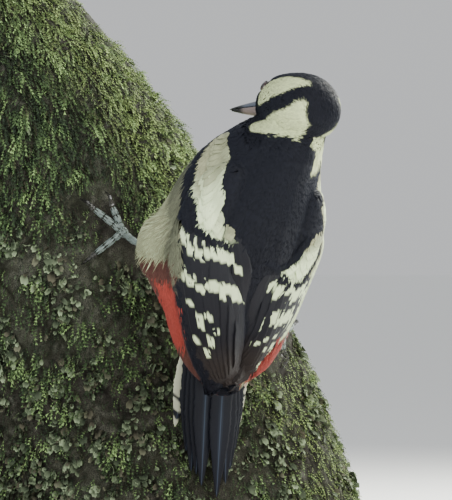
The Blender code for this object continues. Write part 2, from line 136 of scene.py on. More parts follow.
# The light is soft: a wide panel overhead and to the right, a cooler one low on the left, and a
# bright one behind that gives the feathers and the moss their pale rims.
lit_middle = Vector((0.03, 0.0, 0.15))
for name, place, size, power, colour in (
        ("key_panel", (1.1, -1.5, 1.7), 1.4, 46.0, (1.0, 0.99, 0.95)),
        ("fill_panel", (-1.7, -1.6, 0.7), 1.8, 20.0, (0.93, 0.97, 1.0)),
        ("rim_panel", (1.0, 1.1, 1.0), 1.0, 80.0, (1.0, 1.0, 0.90))):
    panel = bpy.data.lights.new(name, "AREA")
    panel.shape = "DISK"
    panel.size = size
    panel.energy = power
    panel.color = colour
    lamp = link(bpy.data.objects.new(name, panel))
    lamp.location = place
    lamp.rotation_euler = (lit_middle - Vector(place)).to_track_quat("-Z", "Y").to_euler()
sky = bpy.data.worlds.new("studio_air")
sky.use_nodes = True
set_sockets(sky.node_tree.nodes["Background"], {"Color": (0.96, 0.98, 1.0, 1.0),
                                                "Strength": 0.66})
bpy.context.scene.world = sky


# How the bird's body runs: a line through its middle, from the vent up to the throat, and the
# way its back faces. Every feather of the body is set by its place along that line and by its
# angle around it, with 0 at the middle of the back and 90 at the left flank.
rng = np.random.default_rng(7)
middle_line = np.array([
    (60.5, -30.0, 97.0), (60.8, -34.0, 104.0), (61.0, -39.0, 113.0), (61.5, -45.0, 124.0),
    (62.8, -52.0, 139.0), (64.0, -59.0, 157.0), (67.0, -67.0, 174.0), (73.5, -74.5, 187.5),
    (81.0, -81.0, 198.5), (88.0, -87.0, 208.0), (93.5, -91.5, 216.0)]) * MM
back_turn = math.radians(24.0)


def catmull(points, place):
    """Points on a smooth curve through the given ones, at shares of its length."""
    spans = len(points) - 1
    at = np.clip(place, 0.0, 1.0) * spans
    k = np.minimum(at.astype(int), spans - 1)
    t = (at - k)[..., None]
    p0, p1 = points[np.maximum(k - 1, 0)], points[k]
    p2, p3 = points[k + 1], points[np.minimum(k + 2, spans)]
    return 0.5 * (2 * p1 + (p2 - p0) * t + (2 * p0 - 5 * p1 + 4 * p2 - p3) * t * t
                  + (3 * p1 - p0 - 3 * p2 + p3) * t ** 3)


def unit(vectors):
    """Each vector at length one."""
    return vectors / np.maximum(np.linalg.norm(vectors, axis=-1, keepdims=True), 1e-12)


line_steps = 400
line_places = np.linspace(0.0, 1.0, line_steps + 1)
line_points = catmull(middle_line, line_places)
line_along = unit(np.gradient(line_points, axis=0))
line_length = np.linalg.norm(np.diff(line_points, axis=0), axis=1).sum()
facing = np.array([math.sin(back_turn), -math.cos(back_turn), 0.0])
line_back = unit(facing - line_along * (line_along @ facing)[:, None])
line_right = np.cross(line_along, line_back)


def dots(first, second):
    """How far each vector of one list runs along its fellow in the other."""
    return np.einsum("ij,ij->i", first, second)


def place_on_bird(points):
    """Place along the middle line and angle around it, in degrees, of many points. A step of
    the line is near when the point is level with it, so that counts more than the distance."""
    stride = 4
    level_weight = 3.0
    gaps = points[:, None, :] - line_points[None, ::stride, :]
    reach = np.linalg.norm(gaps, axis=2)
    off_level = np.abs(np.einsum("ijk,jk->ij", gaps, line_along[::stride]))
    best = np.argmin(off_level * level_weight + reach, axis=1) * stride
    from_line = points - line_points[best]
    slip = dots(from_line, line_along[best])
    place = line_places[best] + slip / line_length * (best < line_steps)
    angle = np.degrees(np.arctan2(-dots(from_line, line_right[best]),
                                  dots(from_line, line_back[best])))
    return place, angle


# The head's own directions: the bill points left and away, and the crown leans to the right.
head_middle = np.array([88.9, -90.0, 221.0]) * MM
head_turn, head_roll = math.radians(38.0), math.radians(22.0)
head_forward = np.array([-math.sin(head_turn), math.cos(head_turn), 0.0])
level_left = np.array([-math.cos(head_turn), -math.sin(head_turn), 0.0])
head_left = level_left * math.cos(head_roll) + np.array([0.0, 0.0, math.sin(head_roll)])
head_up = np.array([0.0, 0.0, math.cos(head_roll)]) - level_left * math.sin(head_roll)


def place_on_head(points):
    """Millimetres ahead of the middle of the head, to its left, and above the bill's line."""
    from_middle = (points - head_middle) / MM
    return from_middle @ head_forward, from_middle @ head_left, from_middle @ head_up


def soft_edge(value, low, high):
    """0 below the low value, 1 above the high one, with a smooth rise between them."""
    t = np.clip((value - low) / (high - low), 0.0, 1.0)
    return t * t * (3.0 - 2.0 * t)


def inside(outline, across, up, blur):
    """How far each point lies inside a drawn outline: 0 outside, 1 inside, soft at the edge."""
    within = np.zeros(len(across), bool)
    nearest = np.full(len(across), 1e9)
    corners = np.array(outline, float)
    for (x0, y0), (x1, y1) in zip(corners, np.roll(corners, -1, axis=0)):
        crosses = (y0 > up) != (y1 > up)
        with np.errstate(divide="ignore", invalid="ignore"):
            at = x0 + (up - y0) * (x1 - x0) / (y1 - y0)
        within ^= crosses & (across < at)
        run = np.array([x1 - x0, y1 - y0])
        t = np.clip(((across - x0) * run[0] + (up - y0) * run[1]) / (run @ run), 0.0, 1.0)
        nearest = np.minimum(nearest, np.hypot(across - x0 - t * run[0], up - y0 - t * run[1]))
    return soft_edge(np.where(within, nearest, -nearest), -blur, blur)


# The plumage's colours: glossy blue-black above, cream cheeks, neck patches and shoulders, buff
# underparts and a coral-red vent. An adult female has no red on her nape. The same rules paint
# the skin and every small feather, from the place where the feather grows.
black = np.array((0.0070, 0.0080, 0.0135))
brown_black = np.array((0.020, 0.0165, 0.016))
# Cream, white and buff lean green-yellow: painted light, the cast of green light from leaves.
cream = np.array((0.68, 0.75, 0.42))
white = np.array((0.74, 0.87, 0.54))
buff = np.array((0.41, 0.415, 0.255))
vent_red = np.array((0.40, 0.066, 0.050))
# The vent's red as painted shade, where the thigh shades it.
shaded_vent_red = np.array((0.115, 0.048, 0.038))
cheek_outline = [(10.6, 0.6), (9.0, 2.2), (5.8, 4.5), (1.2, 6.9), (-5.8, 9.3), (-11.4, 9.4),
                 (-16.9, 9.2), (-18.8, 7.4), (-16.4, 5.4), (-13.8, 3.6), (-11.8, 1.4), (-8.4, -0.4),
                 (-4.4, -1.8), (-1.4, -3.2), (2.6, -4.2), (7.4, -4.0), (10.0, -2.6), (11.0, -0.8)]
neck_outline = [(-25.4, -15.4), (-25.4, -3.4), (-22.2, -1.0), (-19.9, 0.1), (-17.8, -1.1),
                (-15.0, -4.4), (-10.7, -6.4), (-4.2, -8.0), (1.6, -9.3), (6.8, -10.9),
                (9.8, -11.9), (10.2, -13.4), (8.6, -15.4)]
left_shoulder = [(0.780, 103), (0.765, 118), (0.735, 109), (0.715, 98), (0.695, 89), (0.670, 79),
                 (0.667, 68), (0.665, 60), (0.645, 57), (0.630, 56), (0.622, 52), (0.617, 45),
                 (0.605, 37), (0.606, 30), (0.618, 30), (0.630, 39), (0.645, 46), (0.680, 50),
                 (0.708, 54), (0.738, 62), (0.752, 74), (0.762, 88), (0.775, 95)]
right_shoulder = [(0.69, -58), (0.632, -57), (0.545, -52), (0.510, -48), (0.478, -44),
                  (0.486, -34), (0.500, -29), (0.520, -24), (0.540, -25), (0.562, -35),
                  (0.625, -43), (0.685, -50)]


def blend(base, over, share):
    """Lays a colour over a base, by the share of it that each point gets."""
    share = np.clip(share, 0.0, 1.0)[..., None]
    return np.asarray(base) * (1.0 - share) + np.asarray(over) * share


def body_colours(place, angle):
    """The small feathers of the body: black back, buff sides and belly, red vent, its red darkened
    on the left as painted shade under the thigh.
    """
    side = np.abs(angle)
    left = angle > 0
    left_edge = np.interp(place, (0.42, 0.49, 0.53, 0.59, 0.605, 0.615, 0.63, 0.64, 0.66, 0.72),
                          (73, 70, 68, 70, 73, 83, 91, 101, 114, 128))
    right_edge = np.interp(place, (0.30, 0.44, 0.50, 0.55, 0.63, 0.70, 0.77, 0.81, 0.86),
                           (50, 50, 51, 56, 61, 62, 60, 68, 84))
    edge = np.where(left, left_edge, right_edge)
    colours = blend(black, buff, soft_edge(side, edge, edge + 4.0))
    colours = blend(colours, cream, 0.6 * soft_edge(side, 84.0, 95.0) * (place < 0.62)
                    * soft_edge(place, 0.34, 0.42))
    colours = blend(colours, white, 0.8 * ~left * soft_edge(side, edge + 2.0, edge + 8.0)
                    * (place < 0.80))
    red_top = np.where(left, 0.458, 0.285 + 0.08 * soft_edge(side, 95.0, 180.0))
    colours = blend(colours, black, left * (1.0 - soft_edge(side, 73.0, 77.0))
                    * (1.0 - soft_edge(place, 0.44, 0.48)))
    # Low on the left, by the thigh, the feathers are painted dark red: painted shade.
    colours = blend(colours, shaded_vent_red, left * soft_edge(side, 72.0, 76.0)
                    * (1.0 - soft_edge(place, red_top + 0.035, red_top + 0.06)))
    colours = blend(colours, black, (side < 80) * (1.0 - soft_edge(place, 0.04, 0.09)))
    red = 1.0 - soft_edge(place, red_top - 0.02, red_top + 0.02)
    red_low = np.where(left, 0.29, 0.11) - 0.5 * soft_edge(side, 95.0, 120.0)
    red = red * soft_edge(place, red_low, red_low + 0.03)
    red_side = np.where(left, 75.0, 34.0 + 20.0 * soft_edge(place, 0.12, 0.30))
    red = red * soft_edge(side, red_side, red_side + 5.0)
    # Toward the left side the vent's red turns dark: painted shade under the thigh.
    shade_from = np.interp(place, (0.36, 0.40, 0.43, 0.455, 0.475), (98, 89, 83, 78, 73))
    vent_tone = blend(vent_red, shaded_vent_red, 0.95 * left * soft_edge(side, shade_from, shade_from + 8.0)
                      * soft_edge(place, 0.22, 0.30))
    colours = blend(colours, vent_tone, red)
    buffy = np.where(left, soft_edge(place, 0.655, 0.70), soft_edge(place, 0.56, 0.63))
    patch_tone = blend(white, buff * 1.02, buffy)
    patch_tone = blend(patch_tone, white * 0.45, left * soft_edge(-place, -0.63, -0.60)
                       * soft_edge(-angle, -38.0, -26.0))
    patches = np.maximum(inside(left_shoulder, place, angle, 0.0015),
                         inside(right_shoulder, place, angle, 0.0015))
    return blend(colours, patch_tone, patches)


def head_colours(ahead, aside, above, place, colours):
    """Lays the head's pattern over the body's colours where the head and neck are."""
    on_head = soft_edge(-np.hypot(ahead, above), -30.0, -26.0) * (place > 0.84)
    pattern = blend(black, cream, inside(cheek_outline, ahead, above, 0.5)
                    * soft_edge(np.abs(aside), 3.0, 5.0)
                    * (1.0 - (aside > 0) * soft_edge(ahead, 4.6, 6.2)))
    nape = np.interp(above, (-16, -12, -10, -7, -4, 0), (1.5, 1.5, 3.5, 6.0, 8.4, 9.0))
    nape = nape + 3.6 * (aside < 0)
    pattern = blend(pattern, cream, inside(neck_outline, ahead, above, 0.5)
                    * soft_edge(np.abs(aside) - nape, -0.6, 0.6))
    forehead = soft_edge(ahead, 15.0, 16.4) * soft_edge(above, 0.5, 2.0)
    pattern = blend(pattern, buff, 0.35 * forehead * (1.0 - soft_edge(ahead, 18.6, 19.4)))
    throat = soft_edge(-above, 9.5, 11.0) * soft_edge(ahead, 4.0, 8.0) * (np.abs(aside) < 7.5)
    pattern = blend(pattern, cream, throat)
    return blend(colours, pattern, on_head)


def plumage(points):
    """The coat's colour at each point, from the body's and the head's patterns."""
    place, angle = place_on_bird(points)
    ahead, aside, above = place_on_head(points)
    colours = head_colours(ahead, aside, above, place, body_colours(place, angle))
    right_patch = soft_edge(place, 0.86, 0.88) * (angle < -38) * (angle > -75)
    return blend(colours, cream, right_patch * (place < 1.0) * (above < -8.0))


# The skin: the flesh of the head, neck, body, thighs and wings as one unbroken form, drawn in
# by the depth of the coat. A model maker pulls it over the body as one piece; what shows of it
# is the ground between the feathers, painted in the plumage's colours darkened as painted
# shade, and the bare lids around the eyes.
flesh = ("head", "neck", "body", "thigh_left", "thigh_right", "wing_left_coverts",
         "wing_right_coverts")
quill_beds = ("wing_left_flight_feathers", "wing_right_flight_feathers")
coat_depth = 1.7 * MM
face_depth = 0.7 * MM
painted_shade_under_coat = 0.55


def drawn_from(nodes):
    """The frame's nodes laid together as one drawn shape."""
    shape = bmesh.new()
    for node in nodes:
        shape.from_mesh(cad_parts[node].data)
    return shape


def finished_mesh(piece):
    """The mesh that a piece's modifiers make; the piece itself is thrown away."""
    mesh = bpy.data.meshes.new_from_object(
        piece.evaluated_get(bpy.context.evaluated_depsgraph_get()))
    bpy.data.objects.remove(piece)
    return mesh


def joined_form(nodes, cell, passes):
    """One smooth closed mesh over several of the frame's nodes."""
    form = link(bpy.data.objects.new("form", mesh_from(drawn_from(nodes), "form")))
    remesh = form.modifiers.new("close", "REMESH")
    remesh.mode = "VOXEL"
    remesh.voxel_size = cell
    soften = form.modifiers.new("soften", "SMOOTH")
    soften.factor = 0.5
    soften.iterations = passes
    return finished_mesh(form)


def points_of(mesh, key="co", per="vertices"):
    """A mesh's points, or its normals, as rows of three numbers."""
    values = np.empty(len(getattr(mesh, per)) * 3)
    getattr(mesh, per).foreach_get(key, values)
    return values.reshape(-1, 3)


def normals_of(mesh):
    """The outward normals at a mesh's points."""
    return points_of(mesh, "vector", "vertex_normals")


def raised(points, normals, height):
    """The points moved outwards, ready to be set in a mesh."""
    return (points + normals * height[:, None]).ravel()


def paint(mesh, colours):
    """Writes one colour for each point of a mesh."""
    layer = mesh.color_attributes.new("plumage", "FLOAT_COLOR", "POINT")
    rgba = np.ones((len(colours), 4))
    rgba[:, :3] = colours
    layer.data.foreach_set("color", rgba.ravel())


def smooth_piece(name, mesh, finish):
    """Puts a mesh into the scene as a smooth piece of one finish."""
    mesh.shade_smooth()
    mesh.materials.append(finish)
    return link(bpy.data.objects.new(name, mesh))


def feather_finish(name, roughness, gloss, sheen, fibre_scale):
    """Feather material: painted colour, fine barbs as bump, a low gloss and a soft sheen."""
    finish, tree, shader = new_finish(name, (0.5, 0.5, 0.5), roughness, {
        "Specular IOR Level": gloss, "Sheen Weight": sheen, "Sheen Roughness": 0.45,
        "Sheen Tint": (0.55, 0.66, 1.0, 1.0)})
    colour = add_node(tree, "VertexColor", layer_name="plumage")
    speck = add_node(tree, "TexNoise", {"Scale": fibre_scale, "Detail": 4.0})
    spread = add_node(tree, "MapRange", {"To Min": 0.78, "To Max": 1.18})
    shade = add_node(tree, "Mix", {"Factor": 1.0}, data_type="RGBA", blend_type="MULTIPLY")
    wire(tree, (speck, "Fac", spread, "Value"), (colour, "Color", shade, "A"),
         (spread, "Result", shade, "B"), (shade, "Result", shader, "Base Color"))
    add_relief(tree, shader, speck, {"Strength": 0.25, "Distance": 0.0002})
    return finish


# Smoothing has drawn the joined form in, so it is let out again most of the way to the flesh,
# but not across the hollows between wings and back.
let_out = 0.75
hollow_gap = 2.5 * MM
form_mesh = joined_form(flesh + quill_beds, 1.0 * MM, 8)
solids = drawn_from(flesh + quill_beds)
solid_tree = BVHTree.FromBMesh(solids)
solids.free()
form_points = points_of(form_mesh)
for k, point in enumerate(form_points.tolist()):
    spot, _, _, gap = solid_tree.find_nearest(point)
    form_points[k] += (np.array(spot) - form_points[k]) * let_out * (gap < hollow_gap)
form_mesh.vertices.foreach_set("co", form_points.ravel())
form_mesh.update()
form_tree = BVHTree.FromPolygons([Vector(p) for p in form_points],
                                 [tuple(p.vertices) for p in form_mesh.polygons])
skin_mesh = form_mesh.copy()
skin_mesh.name = "skin"
form_normals = normals_of(skin_mesh)
ahead, aside, above = place_on_head(form_points)
to_face = soft_edge(ahead, 2.0, 12.0) * soft_edge(-np.hypot(aside, above), -22.0, -18.0)
depth = coat_depth + (face_depth - coat_depth) * to_face
skin_mesh.vertices.foreach_set("co", raised(form_points, form_normals, -depth))
# The skin takes the plumage's colours darkened: painted shade between the feathers.
paint(skin_mesh, plumage(form_points) * painted_shade_under_coat)
soft_feather = feather_finish("soft_feather", 0.66, 0.16, 0.04, 1800.0)
skin = smooth_piece("skin", skin_mesh, soft_feather)
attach(skin, "root")
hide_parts(*flesh)


# The coat: separate small feathers all over the skin, each a thin curved vane with its root in
# the skin and its tip free. They overlap like tiles toward the tail: tiny on the face, longer
# and softer down the body. Preparators groom them one by one; here each is a slip of mesh.
def quads_of(mesh):
    """The corners of each of a mesh's four-sided faces, and the areas of the faces."""
    corners = np.empty(len(mesh.polygons) * 4, dtype=np.int64)
    mesh.polygons.foreach_get("vertices", corners)
    areas = np.empty(len(mesh.polygons))
    mesh.polygons.foreach_get("area", areas)
    return corners.reshape(-1, 4), areas


form_faces, face_areas = quads_of(form_mesh)
face_normals = form_normals[form_faces].mean(axis=1)
face_normals /= np.linalg.norm(face_normals, axis=1)[:, None]
face_middles = form_points[form_faces].mean(axis=1)


def settle(points):
    """Nearest places on the outer form, with smooth outward normals."""
    places = np.empty_like(points)
    faces = np.empty(len(points), dtype=np.int64)
    for k, point in enumerate(points.tolist()):
        places[k], _, faces[k], _ = form_tree.find_nearest(point)
    return places, face_normals[faces]


def node_tree(node):
    """A node's faces, ready to be searched."""
    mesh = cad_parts[node].data
    return BVHTree.FromPolygons([v.co for v in mesh.vertices],
                                [tuple(p.vertices) for p in mesh.polygons])


def on_node(points, nodes, slack):
    """Whether each point lies within the slack of one of these nodes."""
    trees = [node_tree(node) for node in nodes]
    return np.array([any(tree.find_nearest(point, slack)[0] is not None for tree in trees)
                     for point in points.tolist()])


def lie_of(points, normals):
    """The way feathers point: back from the bill over the head, then along the body."""
    stride = 8
    gaps = points[:, None, :] - line_points[None, ::stride, :]
    best = np.argmin(np.einsum("ijk,ijk->ij", gaps, gaps), axis=1) * stride
    from_head = np.linalg.norm(points - head_middle, axis=1) / MM
    share = soft_edge(from_head, 17.0, 27.0)[:, None]
    flow = -head_forward * (1.0 - share) - line_along[best] * share
    flow = flow - normals * dots(flow, normals)[:, None]
    return flow / np.maximum(np.linalg.norm(flow, axis=1), 1e-9)[:, None]


def roots_on(points, quads, areas, wanted, spacing):
    """Even random roots over faces: about one for each square of the spacing, where wanted."""
    expected = areas * wanted / spacing ** 2
    count = np.floor(expected + rng.random(len(expected))).astype(int)
    faces = np.repeat(np.arange(len(count)), count)
    a = rng.random(len(faces))[:, None]
    b = rng.random(len(faces))[:, None]
    corners = points[quads[faces]]
    roots = ((corners[:, 0] * (1 - a) + corners[:, 1] * a) * (1 - b)
             + (corners[:, 3] * (1 - a) + corners[:, 2] * a) * b)
    return roots, faces


def sheet_faces(rows, wide):
    """The faces of a sheet of so many rows of points, each row so many points wide."""
    return np.array([(r * wide + c, r * wide + c + 1, (r + 1) * wide + c + 1, (r + 1) * wide + c)
                     for r in range(rows - 1) for c in range(wide - 1)])


def leaf(rows, half_widths, columns, camber):
    """Template of a vane: how far along, how far aside, how much raised, and its faces."""
    along = []
    aside = []
    raised_by = []
    for row, half in zip(rows, half_widths):
        for column in columns:
            along.append(row - 0.10 * abs(column) * (row > 0.8))
            aside.append(column * half)
            raised_by.append(camber * (1.0 - column * column))
    return (np.array(along), np.array(aside), np.array(raised_by),
            sheet_faces(len(rows), len(columns)))


small_vane = leaf((0.0, 0.45, 0.8, 1.0), (0.5, 1.0, 0.8, 0.2), (-1, 0, 1), 0.25)
soft_vane = leaf((0.0, 0.3, 0.6, 0.85, 1.0), (0.4, 0.85, 1.0, 0.75, 0.15), (-1, 0, 1), 0.22)
hair_lock = leaf((0.0, 0.4, 0.75, 1.0), (0.7, 1.0, 0.6, 0.06), (-1, 1), 0.0)
patch_size = 0.0028          # how much of its unwrap one feather or one shoot takes
ruffle = 0.22 * MM           # how far feathers of one tract stand apart at random


def bake_patch(points):
    """Where a root's patch lies on the unwrap of the skin's own shape."""
    place, angle = place_on_bird(points)
    ahead, aside, above = place_on_head(points)
    on_head = np.hypot(np.hypot(ahead, aside), above) < 24.0
    across = np.where(on_head, 0.66 + 0.31 * (ahead + 25.0) / 50.0, 0.02 + 0.60 * place)
    up = np.where(on_head, np.degrees(np.arctan2(aside, above)), angle)
    return np.stack([np.clip(across, 0.01, 0.98), 0.01 + 0.975 * (up + 180.0) / 360.0], axis=1)


def plume_object(name, positions, colours, patches, faces, finish):
    """One joined mesh of many feathers or shoots, with painted colour and its bake map."""
    count, size = positions.shape[:2]
    sides = faces.shape[1]
    every = (faces[None] + (np.arange(count) * size)[:, None, None]).reshape(-1, sides)
    corners = every.reshape(-1)
    mesh = bpy.data.meshes.new(name)
    mesh.vertices.add(count * size)
    mesh.vertices.foreach_set("co", positions.reshape(-1))
    mesh.loops.add(len(corners))
    mesh.loops.foreach_set("vertex_index", corners.astype(np.int32))
    mesh.polygons.add(len(every))
    mesh.polygons.foreach_set("loop_start", np.arange(0, len(corners), sides, dtype=np.int32))
    mesh.update(calc_edges=True)
    mesh.validate()
    paint(mesh, colours.reshape(-1, 3))
    unwrap = mesh.uv_layers.new(name="OFBake")
    on_unwrap = np.clip(patches, 0.001, 0.999).reshape(-1, 2)
    unwrap.data.foreach_set("uv", on_unwrap[corners].reshape(-1))
    coat = smooth_piece(name, mesh, finish)
    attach(coat, "root")
    return coat


def groom(name, roots, normals, lies, template, length, width, lift, colours, sway=0.12,
          root_painted_shade=0.45, depth=coat_depth):
    """Grows one feather at each root, bent to follow the form toward its tip."""
    along, aside, raised_by, faces = template
    count = len(roots)
    length = np.broadcast_to(length, count) * (0.85 + 0.3 * rng.random(count))
    width = np.broadcast_to(width, count) * (0.85 + 0.3 * rng.random(count))
    sides = np.cross(normals, lies)
    turned = unit(lies + sides * rng.normal(0.0, sway, count)[:, None])
    middle, middle_normals = settle(roots + turned * (length * 0.5)[:, None])
    onward = turned - middle_normals * dots(turned, middle_normals)[:, None]
    tip, tip_normals = settle(middle + unit(onward) * (length * 0.5)[:, None])
    t = along[None, :, None]
    spine = (roots[:, None] * (2 * (t - 0.5) * (t - 1)) + middle[:, None] * (4 * t * (1 - t))
             + tip[:, None] * (2 * t * (t - 0.5)))
    up = unit(normals[:, None] * (1 - t) + tip_normals[:, None] * t)
    across = unit(np.cross(up, np.broadcast_to((tip - roots)[:, None], up.shape)))
    sunk = -depth * 0.85 * (1.0 - np.minimum(along * 1.9, 1.0)[None]) ** 1.5
    height = sunk + lift * along[None] ** 1.6 + raised_by[None] * width[:, None]
    height = height + (rng.random(count) * ruffle)[:, None]
    positions = spine + up * height[:, :, None] + across * (aside[None] * width[:, None])[..., None]
    # Each feather is painted darker toward its root: painted shade where the feathers above overlap
    # it.
    shade = root_painted_shade + (1.0 - root_painted_shade) * np.minimum(along * 1.5, 1.0)
    shade = shade[None, :] * (0.86 + 0.28 * rng.random(count))[:, None]
    shaded = colours[:, None] * shade[..., None]
    patches = bake_patch(roots)[:, None] + patch_size * np.stack([along - 0.5, aside * 0.45], 1)
    return plume_object(name, positions, shaded, patches, faces, soft_feather)


def box_middle(node):
    """The middle of a node's box."""
    low, high = (np.array(corner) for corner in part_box(node))
    return (low + high) / 2


# Where each tract of the coat grows, by the place of each face of the form. The eyes and the
# bill stay bare, and so do the beds of the quills.
middle_place, middle_angle = place_on_bird(face_middles)
middle_ahead, middle_aside, middle_above = place_on_head(face_middles)
head_reach = np.sqrt(middle_ahead ** 2 + middle_aside ** 2 + middle_above ** 2)
close_by = 0.6 * MM
over_wing = on_node(face_middles, ("wing_left_coverts", "wing_right_coverts"), close_by)
over_quills = on_node(face_middles, quill_beds, close_by)
in_head = (head_reach < 24.5) & (middle_place > 0.85)
bare_eye = np.zeros(len(face_middles), dtype=bool)
for side in ("left", "right"):
    from_eye = np.linalg.norm(face_middles - box_middle("eye_" + side), axis=1)
    bare_eye |= from_eye < 3.9 * MM
bare_bill = (middle_ahead > 17.8) & (np.abs(middle_aside) < 3.0) & (np.abs(middle_above) < 3.4)


def feathers_on(name, wanted, spacing, template, length, width, lift, depth=coat_depth):
    """A whole tract: roots scattered where wanted, coloured by the pattern at each tip."""
    roots, faces = roots_on(form_points, form_faces, face_areas, wanted.astype(float), spacing)
    normals = face_normals[faces]
    lies = lie_of(roots, normals)
    size = length(roots) if callable(length) else np.full(len(roots), length)
    seen = roots + lies * (size * 0.6)[:, None]
    return groom(name, roots, normals, lies, template, size, width, lift, plumage(seen),
                 depth=depth)


def head_size(points):
    """How long the feathers of the head are: 1.5 mm at the bill, 4.1 mm at the nape."""
    ahead = place_on_head(points)[0]
    return (1.5 + 2.6 * soft_edge(-ahead, -14.0, 12.0)) * MM


face = in_head & ~bare_eye & ~bare_bill
feathers_on("coat_face", face & (middle_ahead > 2), 0.36 * MM, small_vane, head_size,
            0.24 * MM, 0.15 * MM, depth=face_depth)
feathers_on("coat_nape", face & (middle_ahead <= 2), 0.52 * MM, small_vane, head_size,
            0.38 * MM, 0.2 * MM)
under_shoulder = np.zeros(len(face_middles), bool)
for outline in (left_shoulder, right_shoulder):
    for ahead_of_tip in (0.0, 0.02, 0.038):
        under_shoulder |= inside(outline, middle_place - ahead_of_tip, middle_angle, 0.001) > 0.5


def quill_fan(place, sign):
    """The angles of the inner and outer edges of a folded wing's quills."""
    stops = (0.05, 0.20, 0.36, 0.52, 0.66)
    outer = np.where(sign > 0, np.interp(place, stops, (22, 50, 65, 67, 68)),
                     np.interp(place, stops, (14, 30, 56, 61, 66)))
    inner = np.where(sign > 0, np.interp(place, stops, (-6, 2, 8, 15, 24)),
                     np.interp(place, stops, (-8, 0, 3, 9, 18)))
    return inner, outer


fan_inner, fan_outer = quill_fan(middle_place, np.sign(middle_angle))
lowest_covert = np.where(middle_angle > 0, 0.625, 0.515)
over_quills |= (np.abs(middle_angle) > fan_inner + 3.0) & (middle_place < lowest_covert - 0.02)
over_quills &= np.abs(middle_angle) < fan_outer + 1.5 * (middle_place < 0.56)
over_wing &= (np.abs(middle_angle) < fan_outer - 2.0) | (middle_place > 0.60)
bare_body = ~in_head & ~over_wing & ~over_quills & ~under_shoulder
under_nape = in_head & (middle_place < 0.95) & (middle_ahead < 4) & (middle_angle > 15)
neck_part = (bare_body & (middle_place > 0.74)) | (under_nape & (middle_angle < 75))
feathers_on("coat_neck", neck_part, 0.66 * MM, soft_vane, 5.5 * MM, 0.95 * MM, 0.35 * MM)
side_angle = np.abs(middle_angle)
back_part = bare_body & ~neck_part & (side_angle < 80)
feathers_on("coat_back", back_part, 0.95 * MM, soft_vane, 7.5 * MM, 1.25 * MM, 0.3 * MM)
under_part = bare_body & ~neck_part & ~back_part & (middle_place > 0.36)
feathers_on("coat_belly", under_part, 0.90 * MM, soft_vane, 7.0 * MM, 0.95 * MM, 0.35 * MM)
vent_part = bare_body & ~neck_part & ~back_part & ~under_part
feathers_on("coat_vent", vent_part, 0.75 * MM, soft_vane, 6.0 * MM, 0.6 * MM, 0.5 * MM)
feathers_on("coat_wings", over_wing & (middle_place > lowest_covert) & ~under_shoulder,
            0.95 * MM, soft_vane, 6.5 * MM, 1.5 * MM, 0.25 * MM)
feathers_on("coat_shoulders", under_shoulder & ~over_quills, 0.8 * MM, soft_vane, 6.0 * MM,
            1.6 * MM, 0.45 * MM)


# The folded wings: the barred quill feathers of each wing lie side by side from under the
# coverts to the wing tip, the innermost on top. Each is a stiff black vane on a shaft with even
# white spots along both edges, and together the spots line up as ladders across the wing.
ray_start = 0.09          # far enough from the middle line to be outside the bird


def form_surface(place, angle):
    """Points on the outer form at these places and angles, and their outward normals."""
    spine, back, right = (
        np.stack([np.interp(place, line_places, line[:, k]) for k in range(3)], -1)
        for line in (line_points, line_back, line_right))
    turn = np.radians(angle)[..., None]
    outward = unit(back * np.cos(turn) - right * np.sin(turn))
    spots = np.empty_like(spine)
    normals = np.empty_like(spine)
    for k in np.ndindex(place.shape):
        start = Vector(spine[k] + outward[k] * ray_start)
        spot, _, face, _ = form_tree.ray_cast(start, Vector(-outward[k]))
        if spot is None:
            spot, face = Vector(spine[k]), 0
        spots[k] = spot
        normals[k] = face_normals[face]
    return spots, normals


def smoothed(values, passes):
    """A row of values with its kinks taken out, its ends kept."""
    for _ in range(passes):
        values[1:-1] = values[1:-1] * 0.5 + (values[:-2] + values[2:]) * 0.25
    return values


def quill(centre, normals, half_width, height, tip_round, colour_at, ragged=0.05,
          across=(-1.0, -0.8, -0.55, -0.28, -0.07, 0.0, 0.07, 0.28, 0.55, 0.8, 1.0)):
    """One flat vane along a centre line: points, colours and faces; raised along its shaft."""
    rows = len(centre)
    along = np.linspace(0.0, 1.0, rows)
    heading = unit(np.gradient(centre, axis=0))
    aside = unit(np.cross(normals, heading))
    across = np.array(across)
    from_shaft = np.abs(across)[None]
    past_middle = ((along - 1.0 + tip_round) / tip_round).clip(0.0)
    narrowing = np.sqrt(np.clip(1.0 - past_middle ** 2.4, 0.0004, 1.0))
    root_taper = 0.45 + 0.55 * soft_edge(along, 0.0, 0.22)
    width = (half_width * narrowing * root_taper)[:, None]
    edge = 1.0 + ragged * rng.normal(0.0, 1.0, (rows, len(across))) * (from_shaft > 0.9)
    shaft = 0.16 * MM * np.exp(-(across / 0.09) ** 2)[None] * (1.0 - 0.7 * along)[:, None]
    droop = -0.10 * (across ** 2)[None] * width
    ridges = 0.05 * MM * np.sin(np.arange(rows) * 2.1)[:, None] * from_shaft
    rise = height[:, None] + shaft + droop + ridges
    sweep = -0.55 * from_shaft * width * soft_edge(along, 0.5, 1.0)[:, None]
    points = (centre[:, None] + aside[:, None] * (across[None] * edge * width)[..., None]
              + normals[:, None] * rise[..., None] + heading[:, None] * sweep[..., None])
    colours = colour_at(along[:, None] + 0 * across[None], across[None] + 0 * along[:, None])
    return points.reshape(-1, 3), colours.reshape(-1, 3), sheet_faces(rows, len(across))


def quill_object(name, quills, thickness):
    """Joins several quills into one mesh, and gives the vanes their thickness."""
    points, colours, faces = zip(*quills)
    starts = np.cumsum([0] + [len(one) for one in points[:-1]])
    corners = np.concatenate([one + start for one, start in zip(faces, starts)])
    mesh = bpy.data.meshes.new(name)
    mesh.from_pydata(np.concatenate(points).tolist(), [], corners.tolist())
    paint(mesh, np.concatenate(colours))
    vanes = smooth_piece(name, mesh, stiff_feather)
    vane_body = vanes.modifiers.new("thickness", "SOLIDIFY")
    vane_body.thickness = thickness
    vane_body.offset = -1.0
    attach(vanes, "root")
    return vanes


